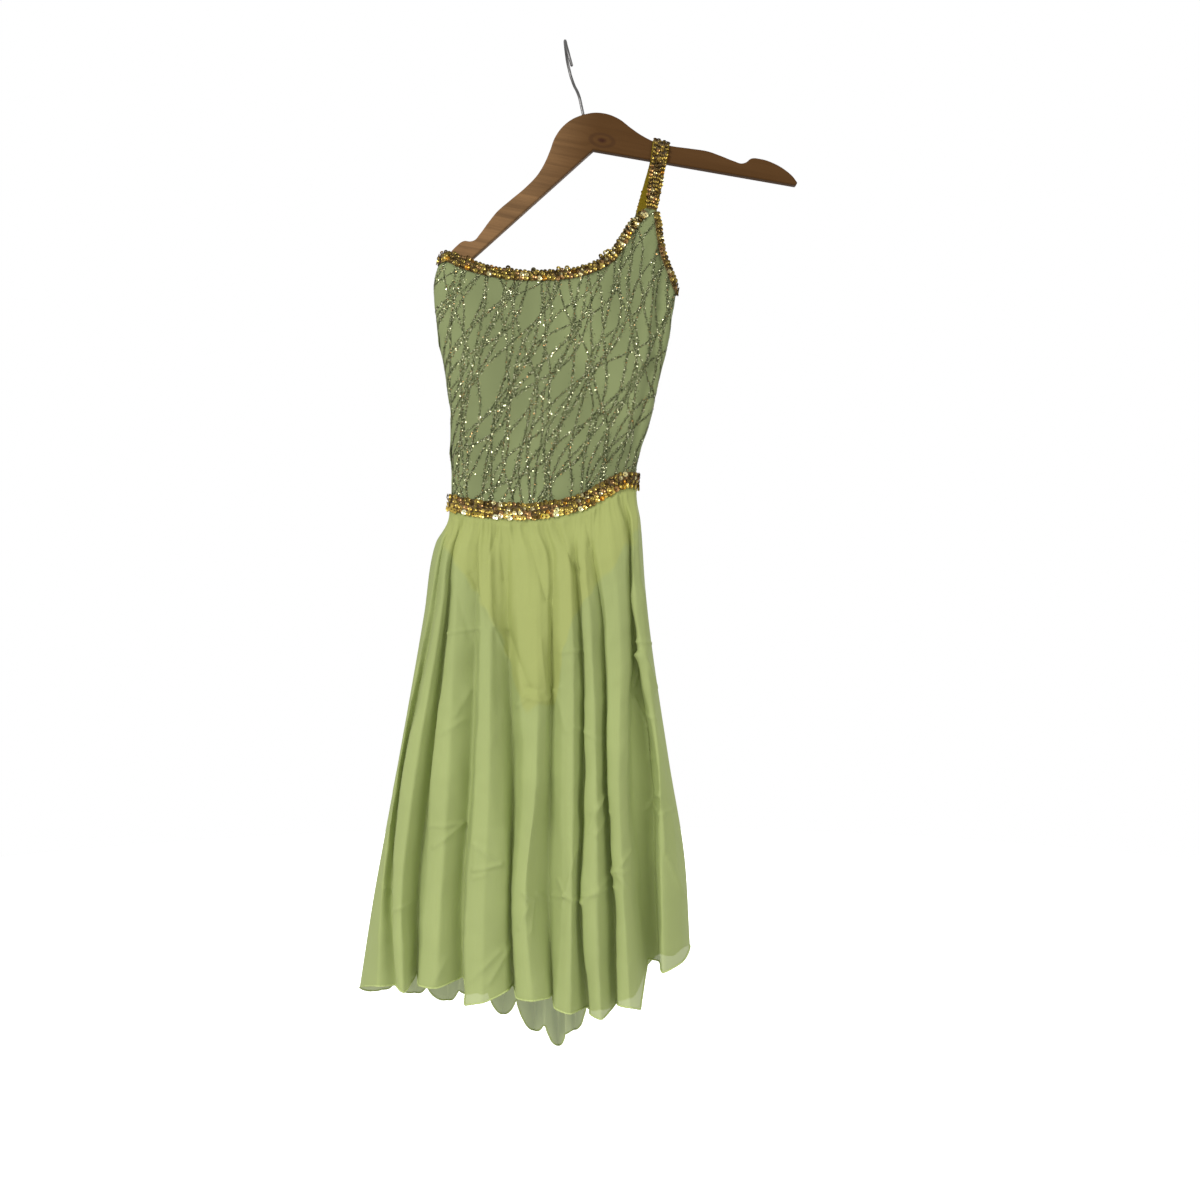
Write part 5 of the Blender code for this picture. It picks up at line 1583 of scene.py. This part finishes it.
def add_beads(name, spot, length, width, foot, random, finish, count):
    """Tiny eight-sided beads and knots of thread between the discs."""
    along = random.uniform(1.0, length - 1.0, count)
    across = random.uniform(0.04, 0.96, count) * width(along)
    lift = np.full(count, foot + BRAID_WALL) + random.uniform(0.0, 0.7, count)
    tilts = random.normal(0, BEAD_TILT, (count, 2))
    centres, axes = trim_axes(spot, along, across, lift, tilts, random.uniform(0, 3, count))
    axes = axes * random.uniform(0.55, 1.0, count)[:, None, None]
    tints = picked_tints(random, count, BEAD_TINTS)
    shape = np.array(BEAD_POINTS)
    return add_specks(name, centres, axes, shape, BEAD_FACES, tints, finish)


def strap_point(along, share, lift):
    """Point of the strap at a length along it, a share -1 to 1 of its half width, and a lift."""
    rows = np.array(STRAP_ROWS)
    run = running_length(rows[:, :3])

    def middle(place):
        return smooth_curve(run, rows, np.clip(place, 0.0, run[-1]))

    place = np.clip(along, 0.0, run[-1])
    here = middle(place)
    tangent = unit(middle(place + 0.6)[..., :3] - middle(place - 0.6)[..., :3])
    here[..., :3] += tangent * (along - place)[..., None]
    half_width, slope = here[..., 3], here[..., 4]
    sideways = unit(np.stack([np.ones_like(slope), np.zeros_like(slope), slope], axis=-1))
    outward = unit(np.cross(sideways, tangent))
    rise = outward * np.asarray(lift)[..., None]
    return here[..., :3] + rise + sideways * (share * half_width)[..., None]


def add_trim(name, route, start, width, foot, rows, shade, radius, braid, gold):
    """One trim along an edge line: its braid, rows of sequins, and beads between them."""
    random = np.random.default_rng(len(name) * 7)
    length = float(route_length(route)[-1])
    closed = name == "waist"

    def trim_width(along):
        return neck_width(route, along) if width is None else np.full(np.shape(along), width)

    def spot(along, across, lift):
        return on_strip(route, along, across + start, lift)

    add_braid(name + "_braid", name + "_trim", spot, length, trim_width, foot, braid, closed)
    along, share, sizes, shades = sequin_rows(length, rows, random)
    across = share * trim_width(along)
    lift = foot + BRAID_WALL + random.uniform(0.15, 0.75, len(along))
    if name == "neck":
        proud = random.uniform(0.30, 0.98, PROUD_SEQUINS) * length
        along = np.append(along, proud)
        across = np.append(across, random.uniform(-1.6, 0.2, PROUD_SEQUINS))
        sizes = np.append(sizes, np.full(PROUD_SEQUINS, PROUD_SIZE))
        lift = np.append(lift, np.full(PROUD_SEQUINS, foot + BRAID_WALL))
        shades = np.append(shades, np.full(PROUD_SEQUINS, PROUD_SHADE))
    tints = picked_tints(random, len(along), SEQUIN_TINTS) * (shade * shades)[:, None]
    add_sequins(name + "_sequins", spot, along, across, lift, sizes * radius, tints, random, gold)
    count = int(length * BEADS_A_LENGTH)
    add_beads(name + "_beads", spot, length, trim_width, foot, random, gold, count)


def add_strap(radius, lining, braid, gold):
    """The strap's ribbed lining, and over it the braid with its sequins and beads."""
    random = np.random.default_rng(STRAP_SEED)
    foot = LINING_WALL + SEAM_GAP
    length = float(running_length(np.array(STRAP_ROWS)[:, :3])[-1])
    full = 2 * float(np.mean([row[3] for row in STRAP_ROWS]))
    share, along = np.meshgrid(
        np.linspace(-1.0, 1.0, STRAP_LINES),
        np.linspace(-STRAP_FOOT_LAP, length + STRAP_FOOT_LAP, STRAP_COLUMNS),
        indexing="ij",
    )
    outer = strap_point(along, share, np.full(share.shape, LINING_WALL))
    inner = strap_point(along, share, np.zeros(share.shape))
    made = add_wall("strap_elastic", outer, inner, lining)
    add_cut_map(made, [along, along], [share * full / 2, share * full / 2])
    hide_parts("strap_lining")

    def spot(along, across, lift):
        share = across / full * 2.0 - 1.0
        fallen = foot + (lift - foot) * (1.0 - STRAP_EDGE_FALL * np.abs(share) ** 3)
        return strap_point(along, share, fallen)

    def width(along):
        return np.full(np.shape(along), full)

    add_braid("strap_braid", "strap_sequins", spot, length, width, foot, braid)
    along, share, sizes, shades = sequin_rows(length, STRAP_SEQUIN_ROWS, random)
    lift = foot + BRAID_WALL + random.uniform(0.15, 0.7, len(along))
    tints = picked_tints(random, len(along), SEQUIN_TINTS) * STRAP_SHADE * shades[:, None]
    across = share * full
    add_sequins("strap_discs", spot, along, across, lift, sizes * radius, tints, random, gold)
    count = int(length * BEADS_A_LENGTH * 2)
    add_beads("strap_beads", spot, length, width, foot, random, gold, count)


def hanger_point(local):
    """World x and z of a point given on the level hanger."""
    along, up = np.asarray(local, float).T
    turn, rise = math.cos(HANGER_ROLL), math.sin(HANGER_ROLL)
    x = HANGER_UNDERSIDE[0] + along * turn - up * rise
    return np.stack([x, HANGER_UNDERSIDE[1] + along * rise + up * turn], axis=-1)


def hanger_outline():
    """Closed outline of the board: the smooth upper line, mirrored, and the bent underside."""
    upper = np.array(HANGER_UPPER)
    run = running_length(upper)
    right = smooth_curve(run, upper, np.linspace(0.0, run[-1], BOARD_STEPS))
    left = right[::-1][1:] * (-1.0, 1.0)
    corner_along, corner_up = np.array([(0.0, 0.0), HANGER_LOWER_BEND, upper[0]]).T
    along = np.linspace(0.0, upper[0][0], BOARD_LOWER_STEPS)
    lower = np.stack([along, np.interp(along, corner_along, corner_up)], axis=-1)
    mirrored = lower[::-1][:-1] * (-1.0, 1.0)
    return np.concatenate([lower[:-1], right, left, mirrored[1:]])


def add_board(finish):
    """Flat hanger board: rings of its outline, drawn in round the rim, and flat faces."""
    outline = hanger_outline()
    ahead = np.roll(outline, -1, axis=0) - outline
    behind = outline - np.roll(outline, 1, axis=0)
    direction = unit(unit(ahead) + unit(behind))
    inward = np.stack([-direction[:, 1], direction[:, 0]], axis=-1)
    turns = np.linspace(0.0, math.pi / 2, BOARD_RIM_STEPS)
    inset = HANGER_EDGE_RADIUS * (1 - np.sin(turns))
    deep = HANGER_THICKNESS / 2 - HANGER_EDGE_RADIUS * (1 - np.cos(turns))
    flat = [inset[0] + BOARD_FLAT_EDGE]
    inset = np.concatenate([flat, inset, inset[::-1], flat])
    depth = np.concatenate([[-deep[0]], -deep, deep[::-1], [deep[0]]])
    rings = hanger_point((outline + inward * inset[:, None, None]).reshape(-1, 2))
    rings = rings.reshape(len(inset), -1, 2)
    level = np.broadcast_to(depth[:, None], rings.shape[:2])
    points = np.stack([rings[..., 0], level, rings[..., 1]], axis=-1)
    count = len(outline)
    faces = grid_faces(len(inset), count, 0, closed=True).tolist()
    last = (len(inset) - 1) * count
    faces += [list(range(count))[::-1], list(range(last, last + count))]
    made = add_piece("hanger_board", points.reshape(-1, 3), faces, finish, True)
    shape = bmesh.new()
    shape.from_mesh(made.data)
    bmesh.ops.triangulate(shape, faces=[face for face in shape.faces if len(face.verts) > 4])
    shape.to_mesh(made.data)
    shape.free()
    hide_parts("hanger_wood")
    return made


def add_wire(finish):
    """Hook: a round tube on the smooth path of shank, neck and bow, its tip rounded."""
    bend = HOOK_BEND_RADIUS
    shank = [(0.0, z) for z in np.linspace(HOOK_SHANK_FOOT, HOOK_SHANK_TOP, 4)]
    turns = np.linspace(HOOK_FIRST_TURN, HOOK_TIP_TURN, HOOK_BOW_STEPS)
    bow = np.stack([bend * np.cos(turns), HOOK_WIRE_RADIUS - bend + bend * np.sin(turns)], axis=-1)
    route = np.array([*shank, *HOOK_NECK, *bow])
    lean_z, lean_x = np.array(HOOK_LEAN).T
    path = np.insert(route, 0, np.interp(route[:, 1], lean_z, lean_x), axis=1)
    run = running_length(path)
    spots = np.linspace(0.0, run[-1], WIRE_STEPS)
    path = smooth_curve(run, path, spots)
    tip = np.clip((run[-1] - spots) / HOOK_WIRE_RADIUS, 0.0, 1.0)
    radii = HOOK_WIRE_RADIUS * np.sqrt(np.clip(1 - (1 - tip) ** 2, 0.02, 1.0))
    points, faces = tube_along(path, radii, WIRE_SIDES, (1.0, 0.0, 0.0))
    made = add_piece("hook_wire", points, faces, finish, True)
    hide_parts("hanger_hook")
    return made


class DANCEDRESS_OT_stage(bpy.types.Operator):
    """Add the floor, the lights, the world and the camera"""

    bl_idname = "dance_dress.stage"
    bl_label = "Stage"

    def execute(self, context):
        scene = context.scene
        angle = np.linspace(0.0, 2 * math.pi, FLOOR_SIDES, endpoint=False)
        ring = np.linspace(0.04, 1.0, FLOOR_RINGS)[:, None] * FLOOR_RADIUS
        level = np.full((FLOOR_RINGS, FLOOR_SIDES), FLOOR_HEIGHT)
        points = np.stack([ring * np.cos(angle), ring * np.sin(angle), level], axis=-1)
        faces = grid_faces(FLOOR_RINGS, FLOOR_SIDES, closed=True, turned=True).tolist()
        faces.append(list(range(FLOOR_SIDES)))
        mesh = bpy.data.meshes.new("floor")
        mesh.from_pydata((points.reshape(-1, 3) * MM).tolist(), [], faces)
        mesh.materials.append(floor_finish())
        floor = bpy.data.objects.new("floor", mesh)
        scene.collection.objects.link(floor)
        for ray in ("diffuse", "glossy", "transmission", "shadow"):
            setattr(floor, "visible_" + ray, False)
        world = bpy.data.worlds.new("studio")
        world.use_nodes = True
        tree = world.node_tree
        background = tree.nodes["Background"]
        background.inputs["Color"].default_value = (1.0, 1.0, 1.0, 1.0)
        seen = tree.nodes.new("ShaderNodeMapRange")
        seen.inputs["To Min"].default_value = AMBIENT
        seen.inputs["To Max"].default_value = 1.0
        path = tree.nodes.new("ShaderNodeLightPath")
        tree.links.new(path.outputs["Is Camera Ray"], seen.inputs["Value"])
        tree.links.new(seen.outputs["Result"], background.inputs["Strength"])
        scene.world = world
        for name, place, power, size in STUDIO_LIGHTS:
            light = bpy.data.lights.new(name, "AREA")
            light.energy = power
            light.size = size
            lamp = bpy.data.objects.new(name, light)
            lamp.location = place
            aim = Vector(LIGHTS_AIM) - Vector(place)
            lamp.rotation_euler = aim.to_track_quat("-Z", "Y").to_euler()
            scene.collection.objects.link(lamp)
        view = bpy.data.cameras.new("camera")
        view.sensor_width = CAMERA_SENSOR
        view.lens = CAMERA_LENS
        camera = bpy.data.objects.new("camera", view)
        camera.location = CAMERA_PLACE
        camera.rotation_euler = (math.pi / 2, 0.0, 0.0)
        scene.collection.objects.link(camera)
        scene.camera = camera
        scene.view_settings.view_transform = "Standard"
        return {"FINISHED"}


class DANCEDRESS_OT_hanger(bpy.types.Operator):
    """Add the hanger's board and its wire hook"""

    bl_idname = "dance_dress.hanger"
    bl_label = "Hanger"

    def execute(self, context):
        add_board(wood_finish(context.scene.dance_dress_colours.wood))
        add_wire(metal_finish())
        return {"FINISHED"}


class DANCEDRESS_OT_bodice(bpy.types.Operator):
    """Add the bodice's two knit panels with their glitter"""

    bl_idname = "dance_dress.bodice"
    bl_label = "Bodice"

    def execute(self, context):
        knit = bodice_finish(context.scene.dance_dress_colours.bodice)
        flake = sequin_finish("glitter_flake")
        front = add_bodice("bodice_front_knit", "bodice_front", False, knit)
        back = add_bodice("bodice_back_knit", "bodice_back", True, knit)
        flakes = add_flakes("bodice_front_glitter", False, flake)
        more = add_flakes("bodice_back_glitter", True, flake)
        return {"FINISHED"}


class DANCEDRESS_OT_briefs(bpy.types.Operator):
    """Add the briefs' front and back"""

    bl_idname = "dance_dress.briefs"
    bl_label = "Briefs"

    def execute(self, context):
        knit = briefs_finish(context.scene.dance_dress_colours.briefs)
        front = add_brief("brief_front_knit", "brief_front", False, knit)
        back = add_brief("brief_back_knit", "brief_back", True, knit)
        return {"FINISHED"}


class DANCEDRESS_OT_skirt(bpy.types.Operator):
    """Add the chiffon skirt's front and back with their rolled hems"""

    bl_idname = "dance_dress.skirt"
    bl_label = "Skirt"

    def execute(self, context):
        sizes = context.scene.dance_dress_sizes
        tone = context.scene.dance_dress_colours.chiffon
        knit = context.scene.dance_dress_colours.briefs
        chiffon = chiffon_finish(tone, knit, sizes.chiffon_cover)
        finishes = {"chiffon": chiffon, "hem": hem_finish(tone)}
        seam = len(FRONT_FOLDS) - 1
        last = seam + len(BACK_FOLDS) - 1
        front, front_hem = add_skirt(
            "skirt_front_chiffon", "skirt_front", (0, seam), FOLD_STEPS_FRONT,
            SKIRT_CREASES_FRONT, SKIRT_SEED_FRONT, finishes, sizes,
        )
        back, back_hem = add_skirt(
            "skirt_back_chiffon", "skirt_back", (seam, last), FOLD_STEPS_BACK,
            SKIRT_CREASES_BACK, SKIRT_SEED_BACK, finishes, sizes,
        )
        return {"FINISHED"}


class DANCEDRESS_OT_trims(bpy.types.Operator):
    """Add the sequin trims of the neck, armhole and waist"""

    bl_idname = "dance_dress.trims"
    bl_label = "Sequin Trims"

    def execute(self, context):
        radius = context.scene.dance_dress_sizes.sequin_radius / MM
        braid, gold = braid_finish(), sequin_finish("sequin_gold")
        waist_foot = LAY_GAP + SKIRT_WALL + LAY_GAP
        for trim in (
            ("neck", neck_route(), -NECK_TRIM_STAND, None, LAY_GAP, NECK_ROWS, NECK_SHADE),
            ("armhole", armhole_route(), -ARMHOLE_TRIM_STAND,
             ARMHOLE_TRIM_STAND + ARMHOLE_TRIM_LAP, LAY_GAP, ARMHOLE_ROWS, ARMHOLE_SHADE),
            ("waist", waist_route(), -WAIST_TRIM_HEIGHT / 2, WAIST_TRIM_HEIGHT, waist_foot,
             WAIST_ROWS, WAIST_SHADE),
        ):
            add_trim(*trim, radius, braid, gold)
        return {"FINISHED"}


class DANCEDRESS_OT_strap(bpy.types.Operator):
    """Add the strap's elastic lining and its sequins"""

    bl_idname = "dance_dress.strap"
    bl_label = "Strap"

    def execute(self, context):
        radius = context.scene.dance_dress_sizes.sequin_radius / MM
        tone = context.scene.dance_dress_colours.lining
        add_strap(radius, lining_finish(tone), braid_finish(), sequin_finish("strap_gold"))
        return {"FINISHED"}


PIECES = (
    DANCEDRESS_OT_stage,
    DANCEDRESS_OT_hanger,
    DANCEDRESS_OT_bodice,
    DANCEDRESS_OT_briefs,
    DANCEDRESS_OT_skirt,
    DANCEDRESS_OT_trims,
    DANCEDRESS_OT_strap,
)


class DANCEDRESS_PT_pieces(bpy.types.Panel):
    """Sizes and colours of the dress, and a button for each group of pieces"""

    bl_idname = "DANCEDRESS_PT_pieces"
    bl_label = "Dance Dress"
    bl_space_type = "VIEW_3D"
    bl_region_type = "UI"
    bl_category = "Dance Dress"

    def draw(self, context):
        column = self.layout.column()
        for group in (context.scene.dance_dress_sizes, context.scene.dance_dress_colours):
            for name in group.bl_rna.properties.keys():
                if name not in ("rna_type", "name"):
                    column.prop(group, name)
        for piece in PIECES:
            column.operator(piece.bl_idname)


CLASSES = (DanceDressSizes, DanceDressColours, *PIECES, DANCEDRESS_PT_pieces)


def register():
    for kind in CLASSES:
        bpy.utils.register_class(kind)
    bpy.types.Scene.dance_dress_sizes = bpy.props.PointerProperty(type=DanceDressSizes)
    bpy.types.Scene.dance_dress_colours = bpy.props.PointerProperty(type=DanceDressColours)


def unregister():
    del bpy.types.Scene.dance_dress_colours
    del bpy.types.Scene.dance_dress_sizes
    for kind in reversed(CLASSES):
        bpy.utils.unregister_class(kind)


def main():
    register()
    for piece in PIECES:
        group, name = piece.bl_idname.split(".")
        getattr(getattr(bpy.ops, group), name)()


if __name__ == "__main__":
    main()
